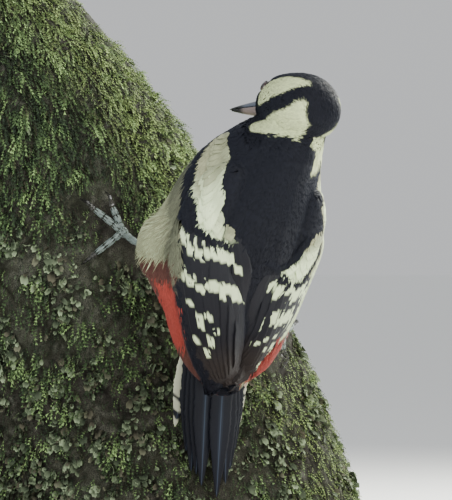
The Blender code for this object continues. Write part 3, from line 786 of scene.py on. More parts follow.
def spotted(tone, places, spots, sign):
    """The colours of a wing quill: black, worn brown at its tip, with white spots."""
    def colour_at(along, across):
        here = np.interp(along, np.linspace(0, 1, len(places)), places)
        base = blend(tone, brown_black * 1.3, soft_edge(0.36 - here, 0.0, 0.12))
        white_here = np.zeros_like(here)
        outward = -across * sign
        for spot, size, reach_in, reach_out in spots:
            mark = soft_edge(size * 0.5 - np.abs(here - spot - 0.011 * outward), -0.001, 0.001)
            mark = mark * soft_edge(outward, reach_in - 0.12, reach_in + 0.02)
            mark = mark * (1.0 - soft_edge(outward, reach_out - 0.02, reach_out + 0.12))
            white_here = np.maximum(white_here, mark)
        return blend(base, white, white_here)
    return colour_at


stiff_feather = feather_finish("stiff_feather", 0.52, 0.22, 0.03, 1400.0)
quill_tone = black * 0.9 + brown_black * 0.1
quill_rows = 72
half_quill = 4.6 * MM
# For each quill from the inner one out: where it ends, and its white spots, each given by its
# place, its length and the inner and outer reach across the vane.
left_quills = [(0.12, ((0.531, 0.026, 0.0, 0.6),)),
               (0.08, ((0.558, 0.034, -1, 1), (0.456, 0.034, -1, 1))),
               (0.05, ((0.560, 0.036, -1, 1), (0.465, 0.040, -1, 1))),
               (0.04, ((0.570, 0.034, -1, 1), (0.482, 0.030, -1, 1), (0.361, 0.014, 0.3, 1))),
               (0.04, ((0.566, 0.022, -1, 0.6), (0.590, 0.024, 0.6, 1), (0.480, 0.018, -1, 0.6),
                       (0.502, 0.022, 0.6, 1), (0.400, 0.018, 0.3, 1), (0.330, 0.034, 0.4, 1))),
               (0.04, ((0.562, 0.022, -1, 0.6), (0.584, 0.024, 0.6, 1), (0.474, 0.020, -1, 0.6),
                       (0.498, 0.022, 0.6, 1), (0.385, 0.040, 0.4, 1), (0.290, 0.032, 0.4, 1))),
               (0.04, ((0.565, 0.022, -1, 0.6), (0.590, 0.026, 0.55, 1), (0.488, 0.022, -1, 0.6),
                       (0.506, 0.024, 0.5, 1), (0.430, 0.012, 0.3, 1), (0.330, 0.020, 0.5, 1))),
               (0.04, ((0.582, 0.022, -1, 1), (0.500, 0.020, -1, 1)))]
right_quills = [(0.16, ()), (0.12, ((0.468, 0.032, -0.7, 0.7), (0.312, 0.014, -0.2, 0.7))),
                (0.10, ((0.466, 0.026, -0.2, 1), (0.383, 0.034, -0.2, 0.9),
                        (0.322, 0.014, 0, 0.9))),
                (0.08, ((0.458, 0.036, -1, 1), (0.380, 0.036, -1, 1), (0.280, 0.020, 0, 0.9))),
                (0.07, ((0.442, 0.030, -1, 1), (0.372, 0.026, -1, 0.6), (0.325, 0.012, 0.2, 1),
                        (0.20, 0.030, 0.3, 1))),
                (0.06, ((0.432, 0.032, -1, 0.7), (0.380, 0.034, -0.4, 1), (0.285, 0.030, 0.4, 1),
                        (0.17, 0.036, 0.4, 1))),
                (0.05, ((0.440, 0.034, -0.5, 1), (0.366, 0.028, -0.8, 0.6),
                        (0.255, 0.036, 0.4, 1), (0.13, 0.03, 0.4, 1))),
                (0.04, ((0.424, 0.026, -1, 0.6), (0.350, 0.032, 0, 1), (0.225, 0.05, 0.3, 1),
                        (0.15, 0.035, 0.3, 1)))]
for side_name, sign, top, plan in (("left", 1.0, 0.645, left_quills),
                                   ("right", -1.0, 0.53, right_quills)):
    quills = []
    for number, (end, spots) in enumerate(plan):
        share = (number + 0.5) / len(plan)
        places = np.linspace(top, end, quill_rows)
        inner_edge, outer_edge = quill_fan(places, sign)
        angles = inner_edge + (outer_edge - inner_edge) * share
        centre, normals = form_surface(places, sign * angles)
        centre = smoothed(centre, 14)
        normals = unit(smoothed(normals, 24))
        sunk_root = 1.2 * (1.0 - soft_edge(top - places, 0.0, 0.03))
        lift = (0.80 - 0.07 * number - sunk_root) * MM
        quills.append(quill(centre, normals, np.full(quill_rows, half_quill), lift, 0.16,
                            spotted(quill_tone, places, spots, sign), 0.03,
                            np.linspace(-1.0, 1.0, 15)))
    wing = quill_object("wing_quills_" + side_name, quills, 0.10 * MM)
    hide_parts("wing_" + side_name + "_flight_feathers")


# The shoulders: broad round scapular feathers lie over the base of each wing in rows, buff by
# the shoulder joint and clean white lower down, like overlapping scales. A short fringe of the
# back's feathers softens their inner edge: grey on the left wing, black on the right one.
def round_colours(tone, edge_tone):
    """The colours of a scapular: a duller rim, a shaded root and faint streaks."""
    def colour_at(along, across):
        rim = soft_edge(np.abs(across) + soft_edge(along, 0.78, 1.0), 0.75, 1.1)
        shade = (0.72 + 0.28 * soft_edge(along, 0.3, 0.7))[..., None]
        streak = (1.0 + 0.07 * np.sin(across * 23.0 + along * 9.0))[..., None]
        return blend(tone, edge_tone, rim) * shade * streak
    return colour_at


def scapulars(side_name, sign, rows):
    """The scapulars of one wing; each row has the place of its tips, the length along the bird,
    the first and last angle, the number of feathers, their half width in mm and whiteness."""
    steps = 20
    vanes = []
    for level, (tip, length, low, high, count, half, whiteness) in enumerate(rows):
        for number in range(count):
            angle = low + (high - low) * (number + 0.5) / count + rng.uniform(-1.0, 1.0)
            end = tip + rng.uniform(-0.005, 0.005) + 0.10 * (angle - low) / 100.0
            places = np.linspace(end + length, end, steps)
            drift = np.linspace(sign * 3.0, 0.0, steps)
            centre, normals = form_surface(places, np.full(steps, sign * angle) + drift)
            centre = smoothed(centre, 4)
            normals = unit(smoothed(normals, 8))
            lift = np.linspace(0.5, 1.15 + 0.10 * level, steps) * MM
            tone = buff * (1.0 - whiteness) * 0.72 + white * whiteness * 1.08
            tone = tone * rng.uniform(0.93, 1.04)
            vanes.append(quill(centre, normals, np.full(steps, half * MM), lift, 0.5,
                               round_colours(tone, tone * 0.86), ragged=0.07))
    return quill_object("shoulder_" + side_name, vanes, 0.08 * MM)


scapulars("left", 1.0, ((0.607, 0.035, 27, 33, 2, 2.4, 0.10), (0.607, 0.06, 37, 43, 2, 2.8, 0.7),
                        (0.616, 0.10, 43, 54, 3, 3.0, 1.0), (0.640, 0.09, 49, 56, 3, 2.8, 1.0),
                        (0.664, 0.08, 53, 60, 3, 2.8, 0.9), (0.676, 0.08, 57, 73, 4, 2.8, 0.6),
                        (0.694, 0.07, 60, 84, 5, 2.8, 0.2), (0.716, 0.055, 72, 94, 5, 2.6, 0.1),
                        (0.738, 0.04, 84, 106, 5, 2.6, 0.1)))
scapulars("right", -1.0, ((0.505, 0.05, 29, 34, 2, 2.6, 1.0),
                          (0.482, 0.09, 36, 45, 3, 2.8, 1.0), (0.510, 0.08, 38, 46, 3, 2.8, 1.0),
                          (0.545, 0.07, 42, 48, 3, 2.6, 0.9), (0.585, 0.06, 46, 52, 2, 2.4, 0.6),
                          (0.625, 0.05, 50, 56, 2, 2.4, 0.3)))


def fringe(name, side_sign, line, spread, count, length, width, colour, lift, turn_out):
    """Loose hair-like barbs rooted in a band along a line of places and angles."""
    pick = rng.random(count)
    at = [np.interp(pick, np.linspace(0.0, 1.0, len(line)), stops) for stops in zip(*line)]
    places = at[0] + rng.normal(0, spread[0], count)
    angles = at[1] + rng.normal(0, spread[1], count)
    roots, normals = form_surface(places, side_sign * angles)
    lies = lie_of(roots, normals)
    sides = np.cross(normals, lies)
    lies = unit(lies + sides * (side_sign * turn_out + rng.normal(0, 0.10, count))[:, None])
    tones = colour(places, angles) if callable(colour) else np.tile(colour, (count, 1))
    tones = tones * rng.uniform(0.75, 1.2, count)[:, None]
    return groom(name, roots, normals, lies, hair_lock, length * MM, width * MM, lift * MM, tones,
                 sway=0.16, root_painted_shade=0.8, depth=0.3 * MM)


fringe("grey_edge_left", 1.0, [(0.668, 47), (0.655, 43), (0.645, 38), (0.637, 31), (0.634, 27)],
       (0.004, 1.4), 420, 5.5, 0.24, white * 0.36, 1.2, 0.30)
fringe("back_edge_right", -1.0, [(0.69, 49), (0.625, 42), (0.575, 37), (0.552, 33), (0.549, 20),
                                 (0.572, 10)],
       (0.003, 1.0), 2200, 5.0, 0.26, black * 1.3, 1.5, 0.45)


# The left flank is ruffled over the raised thigh: long loose hair-like feathers, buff and greyed
# as painted shade near the black wing, some lying over the edge of the black wing and some hanging
# free in a pointed fringe. Red ones hang loose on both sides of the vent.
def flank_tone(places, angles):
    """The colours of the loose flank feathers, grey near the wing's edge and dark red where they
    pass into the vent, both as painted shade.
    """
    edge = np.interp(places, (0.53, 0.60, 0.615, 0.63, 0.66), (72, 76, 87, 97, 119))
    # Painted shade: feathers rooted near the wing's edge are greyed.
    grey = soft_edge(edge + 8.0 - angles, -6.0, 8.0) * 0.75
    pale = 0.7 * soft_edge(rng.random(len(places)), 0.5, 0.9) * (1 - grey)
    tones = blend(blend(buff, (0.12, 0.125, 0.095), grey), white * 0.9, pale)
    return blend(tones, shaded_vent_red, 1.0 - soft_edge(places, 0.495, 0.52))


fringe("flank_over_wing", 1.0, [(0.67, 120), (0.648, 109), (0.635, 99), (0.62, 88), (0.60, 78),
                                (0.57, 74), (0.54, 73)],
       (0.008, 2.5), 4200, 9.5, 0.20, flank_tone, 1.5, 0.34)
fringe("flank_hair", 1.0, [(0.69, 128), (0.66, 120), (0.64, 110), (0.61, 98), (0.57, 88),
                           (0.555, 90)],
       (0.014, 6.0), 9000, 9.5, 0.22, flank_tone, 1.3, 0.06)
fringe("flank_tips", 1.0, [(0.58, 82), (0.565, 92), (0.55, 104), (0.555, 118)],
       (0.010, 5.0), 3200, 11.0, 0.20, flank_tone, 4.0, -0.25)
# The thigh's hair is the vent's dark red: painted shade under the thigh.
fringe("thigh_hair", 1.0, [(0.53, 78), (0.52, 88), (0.51, 102)],
       (0.010, 5.0), 1700, 9.0, 0.22, shaded_vent_red * 1.1, 2.0, -0.10)
fringe("vent_hair_left", 1.0, [(0.45, 83), (0.41, 84), (0.37, 86), (0.34, 90)],
       (0.02, 4.0), 2600, 7.0, 0.24, vent_red, 1.2, 0.0)
fringe("vent_hair_right", -1.0, [(0.29, 62), (0.24, 57), (0.20, 52), (0.17, 60)],
       (0.02, 7.0), 2600, 9.0, 0.28, vent_red, 2.2, 0.05)


# The tail: ten stiff pointed feathers pressed against the bark as a prop, the middle pair on top.
# They are glossy black, with a painted sheen down each vane and a painted highlight along the
# shaft; the outer pairs are white with black bars.
# Each is a springy vane whose barbs wear to a point; all are rooted in the rump.
tail_tip = np.array([55.0, -14.2, 50.0]) * MM
tail_heading = unit(np.array([1.6, -18.0, 78.5]))
tail_root = tail_tip + tail_heading * 86.0 * MM
tail_turn = math.radians(17.0)
tail_back = np.array([math.sin(tail_turn), -math.cos(tail_turn), 0.0])
tail_back = unit(tail_back - tail_heading * (tail_back @ tail_heading))
tail_right = unit(np.cross(tail_back, -tail_heading))
tail_rows = 64
# For each feather from the middle pair out, in millimetres: its length, how far aside its root
# and its tip lie, and how deep it lies under the top one.
right_tail = ((86.0, 3.8, 0.6, 0.0), (81.0, 5.0, 5.5, 2.3), (75.0, 6.2, 8.2, 3.45),
              (66.0, 7.4, 10.9, 4.6), (55.0, 8.6, 13.6, 5.75))
left_tail = ((81.0, 3.8, 6.0, 1.15), (76.0, 5.0, 8.0, 2.3), (75.0, 6.2, 9.9, 3.45),
             (66.0, 7.4, 11.8, 4.6), (55.0, 5.5, 16.6, 5.75))


def tail_colours(outermost, sign):
    """The colours of a tail feather: black with a painted sheen and a painted highlight along the
    shaft, the outermost barred white.
    """
    def colour_at(along, across):
        # Painted sheen: the black is lighter and bluer down the middle of the vane; the shaft gets
        # a pale painted highlight.
        painted_sheen = black * (0.60 + 0.20 * np.cos(across * 2.6))[..., None]
        colour = blend(painted_sheen + np.array((0.0, 0.001, 0.004)), (0.045, 0.065, 0.100),
                       np.exp(-(across / 0.06) ** 2))
        if outermost:
            pale = soft_edge(along, 0.12, 0.15)
            inner_web = -2.0 if sign < 0 else 0.35
            outer = soft_edge(across * sign, inner_web, inner_web + 0.2)
            for bar, half in ((0.785, 0.014), (0.915, 0.030)):
                bar_here = half - np.abs(along - bar - 0.012 * across)
                pale = pale * (1.0 - soft_edge(bar_here, -0.006, 0.006))
            colour = blend(colour, (0.56, 0.58, 0.44), pale * outer)
        return colour
    return colour_at


for side_name, sign, tail_plan in (("right", 1.0, right_tail), ("left", -1.0, left_tail)):
    for number, (length, root_aside, tip_aside, layer) in enumerate(tail_plan, 1):
        share = np.linspace(0.0, 1.0, tail_rows)
        aside = sign * (root_aside * (1 - share) + tip_aside * share)
        fall = 0.018 * np.minimum(np.abs(aside), 13.7) ** 2 + layer
        centre = (tail_root - tail_heading * (length * MM * share)[:, None]
                  + tail_right * (aside * MM)[:, None] - tail_back * (fall * MM)[:, None])
        widths = 5.0 * (0.62 + 0.38 * soft_edge(share, 0.0, 0.45))
        widths = widths * np.maximum(1.0 - np.maximum(share - 0.62, 0.0) ** 1.35 * 3.3, 0.07)
        facing = np.tile(tail_back, (tail_rows, 1))
        vane = quill(centre, facing, widths * MM, np.full(tail_rows, 0.3 * MM), 0.02,
                     tail_colours(number == len(tail_plan), sign), ragged=0.04)
        feather = quill_object(f"tail_{side_name}_{number}", [vane], 0.35 * MM)
        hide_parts(f"tail_feather_{side_name}_{number}")


# The eyes: glass eyes with a dark red-brown iris and a wet bulging front, set as deep as in
# life inside a narrow rim of bare grey lid. Each lid ring is soft skin pinched to an almond.
def painted_finish(name, roughness, gloss, grain_scale=0.0, bump=0.0, wet=0.0, depth=0.0002):
    """A finish in the piece's painted colours, with its gloss, wetness and fine grain."""
    finish, tree, shader = new_finish(name, (0.5, 0.5, 0.5), roughness, {
        "Specular IOR Level": gloss, "Coat Weight": wet, "Coat Roughness": 0.02})
    colour = add_node(tree, "VertexColor", layer_name="plumage")
    wire(tree, (colour, "Color", shader, "Base Color"))
    if grain_scale:
        grain = add_node(tree, "TexNoise", {"Scale": grain_scale, "Detail": 5.0})
        add_relief(tree, shader, grain, {"Strength": bump, "Distance": depth})
    return finish


wet_eye = painted_finish("wet_eye", 0.06, 0.6, wet=1.0)
bare_lid = painted_finish("bare_lid", 0.55, 0.3, 2500.0, 0.6)
eye_radius = 3.1 * MM
lid_tone = (0.024, 0.024, 0.026)
lid_steps = 72
lid_sides = 12
for side_name, sign in (("left", 1.0), ("right", -1.0)):
    eye_middle = box_middle("eye_" + side_name) - head_left * sign * 1.5 * MM
    gaze = unit(head_left * sign * 0.95 + head_forward * 0.24 + head_up * 0.12)
    eye_up = unit(head_up - gaze * (head_up @ gaze))
    eye_along = np.cross(eye_up, gaze)
    ball = bmesh.new()
    bmesh.ops.create_uvsphere(ball, u_segments=64, v_segments=48, radius=eye_radius)
    eye_mesh = mesh_from(ball, "eye")
    local = points_of(eye_mesh)
    off_axis = np.degrees(np.arccos(np.clip(local[:, 2] / eye_radius, -1, 1)))
    bulge = 1.0 + 0.045 * (1.0 - soft_edge(off_axis, 18.0, 42.0))
    turned = eye_along * local[:, :1] + eye_up * local[:, 1:2] + gaze * local[:, 2:]
    eye_mesh.vertices.foreach_set("co", (turned * bulge[:, None] + eye_middle).ravel())
    spokes = 1.0 + 0.25 * np.sin(np.arctan2(local[:, 1], local[:, 0]) * 23.0)
    iris = np.array((0.030, 0.008, 0.006)) * spokes[:, None]
    colours = blend((0.004, 0.003, 0.003), iris, soft_edge(off_axis, 24.0, 27.0))
    paint(eye_mesh, blend(colours, (0.012, 0.008, 0.007), soft_edge(off_axis, 44.0, 50.0)))
    eye = smooth_piece("glass_eye_" + side_name, eye_mesh, wet_eye)
    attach(eye, "root")
    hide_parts("eye_" + side_name)
    rim_points = []
    rim_faces = []
    for k in range(lid_steps):
        turn = math.tau * k / lid_steps
        squeeze = 0.90 if math.sin(turn) > 0 else 0.84
        spoke = eye_along * math.cos(turn) * 1.06 + eye_up * math.sin(turn) * squeeze
        pinch = 0.42 + 0.10 * abs(math.cos(turn)) ** 6 + 0.03 * math.sin(turn * 13)
        rim_middle = eye_middle + gaze * 1.95 * MM + spoke * 2.42 * MM
        here = k * lid_sides
        onward = (k + 1) % lid_steps * lid_sides
        for i in range(lid_sides):
            roll = math.tau * i / lid_sides
            rim_points.append(rim_middle + (spoke * math.cos(roll)
                                            + gaze * math.sin(roll)) * pinch * MM)
            beside = (i + 1) % lid_sides
            rim_faces.append((here + i, here + beside, onward + beside, onward + i))
    rim_mesh = bpy.data.meshes.new("lid_" + side_name)
    rim_mesh.from_pydata(rim_points, [], rim_faces)
    paint(rim_mesh, np.tile(lid_tone, (len(rim_points), 1)))
    lid = smooth_piece("lid_" + side_name, rim_mesh, bare_lid)
    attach(lid, "root")


# The bill: a straight chisel of horn in two halves that meet along a fine line. The tip is slate
# black; the upper half pales to blue-grey and the lower to pinkish horn at the root, where
# short black bristles of the face lie forward over it.
horn = painted_finish("horn", 0.38, 0.35, 500.0, 0.08)
bill_root = 20.855          # millimetres ahead of the middle of the head
bill_length = 24.2
for half, base_tone in (("upper", (0.085, 0.10, 0.135)), ("lower", (0.24, 0.19, 0.18))):
    bill_mesh = joined_form(("bill_" + half,), 0.25 * MM, 6)
    ahead, aside, above = place_on_head(points_of(bill_mesh))
    to_tip = (ahead - bill_root) / bill_length
    tones = blend(base_tone, (0.020, 0.021, 0.024), soft_edge(to_tip, 0.34, 0.62))
    if half == "upper":
        tones = blend(tones, (0.05, 0.055, 0.07), soft_edge(above, 1.2, 2.2) * 0.6)
    paint(bill_mesh, tones)
    bill = smooth_piece("horn_bill_" + half, bill_mesh, horn)
    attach(bill, "root")
    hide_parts("bill_" + half)
bristle_count = 2600
turn = rng.uniform(0, math.tau, bristle_count)
ring_ahead = rng.uniform(15.5, 20.6, bristle_count)
reach = np.interp(ring_ahead, (15.5, 18.5, 20.8), (6.6, 4.6, 3.4)) + 0.2
roots = (head_middle + (head_forward * ring_ahead[:, None]
         + head_left * (np.cos(turn) * reach * 0.92)[:, None]
         + head_up * (np.sin(turn) * reach)[:, None]) * MM)
roots, normals = settle(roots)
lies = unit(head_forward - normals * (normals @ head_forward)[:, None] * 0.9)
bristle_tone = blend(black, buff, 0.8 * (np.sin(turn) > 0.80) * (np.abs(np.cos(turn)) < 0.45))
groom("bill_bristles", roots, normals, lies, hair_lock, 3.6 * MM, 0.20 * MM, 0.3 * MM,
      bristle_tone, root_painted_shade=0.8, depth=0.2 * MM)


# The legs and feet: grey-green scaled skin over the bone, two toes forward and two back, gripping
# the bark. Each scute is a low plate with a dark groove between it and the next. The hooked
# claws are dark polished horn.
def refined(node, name, levels):
    """A finer, smooth copy of one of the frame's nodes."""
    copy = link(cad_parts[node].copy())
    copy.data = copy.data.copy()
    copy.hide_render = False
    finer = copy.modifiers.new("finer", "SUBSURF")
    finer.levels = levels
    finer.render_levels = levels
    mesh = finished_mesh(copy)
    mesh.materials.clear()
    mesh.name = name
    mesh.shade_smooth()
    return mesh


scaled_skin = painted_finish("scaled_skin", 0.48, 0.4, 2200.0, 0.5)
claw_horn = painted_finish("claw_horn", 0.25, 0.5)
scute_length = 1.25
for side_name in ("left", "right"):
    shank_middle = box_middle("tarsus_" + side_name)
    for part in ("tarsus_", "foot_"):
        limb_mesh = refined(part + side_name, "scaled_" + part + side_name, 3)
        points = points_of(limb_mesh)
        if part == "foot_":
            from_shank = np.linalg.norm(points - shank_middle, axis=1)
            centre = points[np.argsort(from_shank)[:200]].mean(0)
            run = np.linalg.norm(points - centre, axis=1) / MM
        else:
            run = points[:, 2] / MM * 1.1
        plate = np.abs(np.sin(run * math.pi / scute_length)) ** 0.4
        limb_mesh.vertices.foreach_set("co", raised(points, normals_of(limb_mesh),
                                                    (plate - 0.8) * 0.10 * MM))
        tones = np.array((0.205, 0.255, 0.240)) * (0.80 + 0.24 * plate)[:, None]
        paint(limb_mesh, tones * (0.9 + 0.2 * rng.random(len(points)))[:, None])
        limb = smooth_piece("scaled_" + part + side_name, limb_mesh, scaled_skin)
        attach(limb, "root")
        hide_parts(part + side_name)
    for number in range(1, 5):
        claw_name = f"claw_{side_name}_{number}"
        claw_mesh = refined(claw_name, "horn_" + claw_name, 2)
        reach = np.linalg.norm(points_of(claw_mesh) - centre, axis=1)
        to_point = (reach - reach.min()) / (reach.max() - reach.min())
        paint(claw_mesh, blend((0.085, 0.085, 0.080), (0.016, 0.015, 0.015),
                               soft_edge(to_point, 0.1, 0.8)))
        claw = smooth_piece("horn_" + claw_name, claw_mesh, claw_horn)
        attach(claw, "root")
        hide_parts(claw_name)


# The perch: a short cut length of leaning trunk. Its bark is grey-brown and fissured, worn low
# where the bird grips; both ends are sawn across and show the rings of the wood.
trunk_centre = np.array([-554.6, 44.0, -177.2]) * MM          # the middle of its slight bend
trunk_bend = 631.0          # this and the next three are in millimetres
half_trunk = 78.0
half_trunk_depth = 56.0
trunk_length = 330.0


def place_on_trunk(points):
    """Millimetres up the trunk, the angle around it from its right side, and its share of the
    way from the heart to the bark."""
    from_centre = (points - trunk_centre) / MM
    lean = np.arctan2(from_centre[:, 2], from_centre[:, 0])
    out = (np.hypot(from_centre[:, 0], from_centre[:, 2]) - trunk_bend) / half_trunk
    back = from_centre[:, 1] / half_trunk_depth
    return lean * trunk_bend, np.degrees(np.arctan2(-back, out)), np.hypot(out, back)


def rough(points, scale, octaves, seed):
    """Soft random variation over space, about -1 to 1."""
    shifted = (points / (scale * MM) + seed).tolist()
    return np.array([noise.fractal(p, 0.9, 2.1, octaves) for p in shifted])


trunk_mesh = joined_form(("perch_trunk",), 1.9 * MM, 1)
bark_points = points_of(trunk_mesh)
bark_normals = normals_of(trunk_mesh)
up_trunk, around, out = place_on_trunk(bark_points)
cut_low = bark_points[:, 2] < 38.6 * MM
cut_high = (up_trunk > up_trunk.max() - 60.0) & (bark_normals[:, 2] > 0.60) & (out < 1.5)
sawn = (cut_low | cut_high) & (np.abs(bark_normals[:, 2]) > 0.55)
sawn_wood = sawn * (out < 0.93)

# What touches the trunk: bark and plants stay low around the feet, the tail and the rods.
touching = [vertex.co for node in sorted(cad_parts)
            if node.startswith(("foot", "claw", "tail", "stand_rod"))
            for vertex in list(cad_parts[node].data.vertices)[::2]][:4000]
contact = KDTree(len(touching))
for number, spot in enumerate(touching):
    contact.insert(spot, number)
contact.balance()
bark_gap = np.array([contact.find(point)[2] for point in bark_points.tolist()]) / MM

# The bark swells and splits by a millimetre or two, hardly at all where it is gripped, and not
# on the sawn ends.
stretched = np.stack([up_trunk / 30.0, around / 7.0, out], axis=1) * MM
fissures = 1.0 - np.abs(rough(stretched, 1.0, 3, 3.7)) * 2.2
lumps = rough(bark_points, 26.0, 3, 9.1)
grit = rough(bark_points, 3.0, 3, 1.3)
relief = -1.5 * np.clip(fissures, 0, 1) ** 2 + 1.4 * lumps + 0.5 * grit + 0.1
relief = relief * (0.10 + 0.90 * soft_edge(bark_gap, 1.5, 9.0)) * ~sawn
relief = np.minimum(relief, 0.15 + 0.16 * np.maximum(bark_gap - 1.0, 0.0))
relief = relief * soft_edge(bark_points[:, 2] / MM, 37.0, 41.0)
bark_points = bark_points + bark_normals * (relief * MM)[:, None]
trunk_mesh.vertices.foreach_set("co", bark_points.ravel())
trunk_mesh.update()
# Paler on the raised lumps and grit; near black in the fissures, as painted shade.
tone = blend((0.062, 0.058, 0.046), (0.170, 0.168, 0.140), soft_edge(0.7 * lumps + grit, -0.1, 0.7))
tone = blend(tone, (0.020, 0.017, 0.014), soft_edge(fissures, 0.35, 0.9))
tone = blend(tone, (0.038, 0.048, 0.024), 0.45 * soft_edge(lumps, -0.35, 0.15))
paint(trunk_mesh, blend(tone, (0.36, 0.25, 0.145), sawn_wood))
rings = trunk_mesh.color_attributes.new("rings", "FLOAT_COLOR", "POINT")
ring_values = np.zeros((len(bark_points), 4))
ring_values[:, 0] = out * half_trunk + 1.6 * lumps
ring_values[:, 1] = sawn_wood
rings.data.foreach_set("color", ring_values.ravel())

# The finish of the bark has dark pits between its crumbs; on the sawn ends the year rings show.
bark = painted_finish("bark", 0.86, 0.2, 620.0, 1.0, depth=0.0009)
bark_tree = bark.node_tree
bark_nodes = bark_tree.nodes
bark_shader = bark_nodes["Principled BSDF"]
crumbs = add_node(bark_tree, "MapRange", {"From Min": 0.44, "From Max": 0.60, "To Max": 0.70})
pitted = add_node(bark_tree, "Mix", {"B": (0.010, 0.009, 0.007, 1.0)}, data_type="RGBA")
ring_reach = add_node(bark_tree, "VertexColor", layer_name="rings")
split = add_node(bark_tree, "SeparateColor")
wave = add_node(bark_tree, "Math", operation="SINE")
ring_count = add_node(bark_tree, "Math", {1: 2.0}, operation="MULTIPLY")
late_wood = add_node(bark_tree, "MapRange", {"From Min": 0.2, "To Max": 0.55})
shown = add_node(bark_tree, "Math", operation="MULTIPLY")
ringed = add_node(bark_tree, "Mix", {"B": (0.15, 0.085, 0.045, 1.0)}, data_type="RGBA")
wire(bark_tree, (bark_nodes["Noise Texture"], "Fac", crumbs, "Value"),
     (crumbs, "Result", pitted, "Factor"), (ring_reach, "Color", split, "Color"),
     (split, "Red", ring_count, 0), (ring_count, "Value", wave, 0),
     (wave, "Value", late_wood, "Value"), (late_wood, "Result", shown, 0),
     (split, "Green", shown, 1), (shown, "Value", ringed, "Factor"),
     (bark_nodes["Color Attribute"], "Color", pitted, "A"), (pitted, "Result", ringed, "A"),
     (ringed, "Result", bark_shader, "Base Color"))
trunk = smooth_piece("bark_trunk", trunk_mesh, bark)
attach(trunk, "root")
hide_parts("perch_trunk")


# Moss: shaggy feathery shoots rooted in the bark, long and dense up the trunk and short lower
# down. Each shoot is a curved stem with tiny leaves to both sides; all are joined into mats.
bark_faces, bark_areas = quads_of(trunk_mesh)
bark_middles = bark_points[bark_faces].mean(axis=1)
bark_face_normals = unit(normals_of(trunk_mesh)[bark_faces].mean(axis=1))
growing = ~sawn[bark_faces].any(axis=1) & (bark_middles[:, 2] > 41 * MM)
far_off = 12.0 * MM
bird_gap = np.array([form_tree.find_nearest(p, far_off)[3] or far_off
                     for p in bark_middles.tolist()]) / MM
face_gap = np.minimum(bark_gap[bark_faces].min(axis=1), bird_gap)
mat_height = bark_middles[:, 2] / MM
face_around = place_on_trunk(bark_middles)[1]
moss_patch = rough(bark_middles, 22.0, 3, 5.5)
moss_clump = rough(bark_middles, 9.0, 3, 8.2)
combed = np.stack([rough(bark_middles, 6.0, 2, seed) for seed in (1.3, 4.4, 9.1)], axis=1)
# The trunk's right edge, where the moss grows denser and is painted with a rim light.
rim_light_edge = soft_edge(np.cos(np.radians(face_around)), 0.55, 0.9)
downward = np.array((0, 0, -1.0))


def shoot_template(pairs):
    """A thin stem and pairs of pointed leaves, as triangles in along, aside and up."""
    points = []
    faces = []
    for k in range(pairs + 2):
        along = k / (pairs + 1)
        width = 0.10 * (1.0 - along) + 0.02
        points += [(along, -width, 0.0), (along, width, 0.0)]
        if k:
            faces += [(2 * k - 2, 2 * k - 1, 2 * k + 1), (2 * k - 2, 2 * k + 1, 2 * k)]
    for k in range(1, pairs + 2):
        along = k / (pairs + 1)
        for sign in (-1, 1):
            first = len(points)
            reach = 1.0 - 0.45 * along
            points += [(along - 0.13, sign * 0.04, 0.0), (along + 0.05, sign * 0.05, 0.05),
                       (along + 0.10, sign * reach, 0.35)]
            faces.append((first, first + 1, first + 2))
    return np.array(points), np.array(faces)


def cushion(faces):
    """How high the mat under each plant has grown: clumps away from the bird, none near it."""
    tallest = 2.2
    swell = np.clip(0.2 + 1.9 * moss_clump[faces], 0.0, tallest)
    swell = swell * soft_edge(mat_height[faces], 120, 190)
    return np.minimum(swell, 0.25 * np.maximum(face_gap[faces] - 2.0, 0.0)) * MM


def grow_on_bark(name, faces_wanted, spacing, template, length, width, tones, droop, stand_up,
                 finish):
    """Many small plants or plates rooted in the bark, as one joined mesh."""
    points, triangles = template
    roots, faces = roots_on(bark_points, bark_faces, bark_areas, faces_wanted, spacing * MM)
    normals = bark_face_normals[faces]
    roots = roots + normals * cushion(faces)[:, None]
    size = length(faces) * rng.uniform(0.6, 1.25, len(faces))
    broad = width * rng.uniform(0.7, 1.3, len(faces)) * np.minimum(size / np.median(size), 1.3)
    wander = unit(rng.normal(0, 1, (len(faces), 3)))
    heading = unit(normals * stand_up + wander * 0.42 + combed[faces] * 0.75 + downward * droop)
    sides = unit(np.cross(heading, normals + wander * 0.3))
    over = np.cross(sides, heading)
    sag = downward * (0.10 + 0.5 * droop) - normals * 0.18
    along, aside, up = (points[:, k][None, :, None] for k in range(3))
    size, broad = size[:, None, None], broad[:, None, None]
    positions = (roots[:, None] + heading[:, None] * (along * size)
                 + sag[:, None] * (along ** 2 * size)
                 + sides[:, None] * (aside * broad) + over[:, None] * (up * broad))
    # Each shoot or lobe is painted dark at its root and bright toward its tip and edges: painted
    # shade and highlight.
    shade = 0.22 + 1.10 * points[:, 0] + 0.20 * np.abs(points[:, 1])
    colours = tones(faces)[:, None] * shade[None, :, None]
    along_trunk, turn, _ = place_on_trunk(roots)
    patch = np.stack([0.02 + 0.96 * (along_trunk - along_trunk.min()) / trunk_length,
                      0.02 + 0.96 * (turn + 180.0) / 360.0], axis=1)
    patches = patch[:, None] + patch_size * (points[:, :2] * (1.0, 0.5) - (0.5, 0.0))[None]
    return plume_object(name, positions, colours, patches, triangles, finish)


def moss_length(faces):
    """How long the shoots are: longest high up and in the clumps, short beside the bird."""
    high = soft_edge(mat_height[faces], 150.0, 190.0)
    size = 3.8 + 2.8 * high + 1.2 * moss_patch[faces] + 1.6 * moss_clump[faces]
    shortest, longest = 0.4, 9.0
    return np.clip(np.minimum(size, 0.5 + 0.42 * face_gap[faces]), shortest, longest) * MM


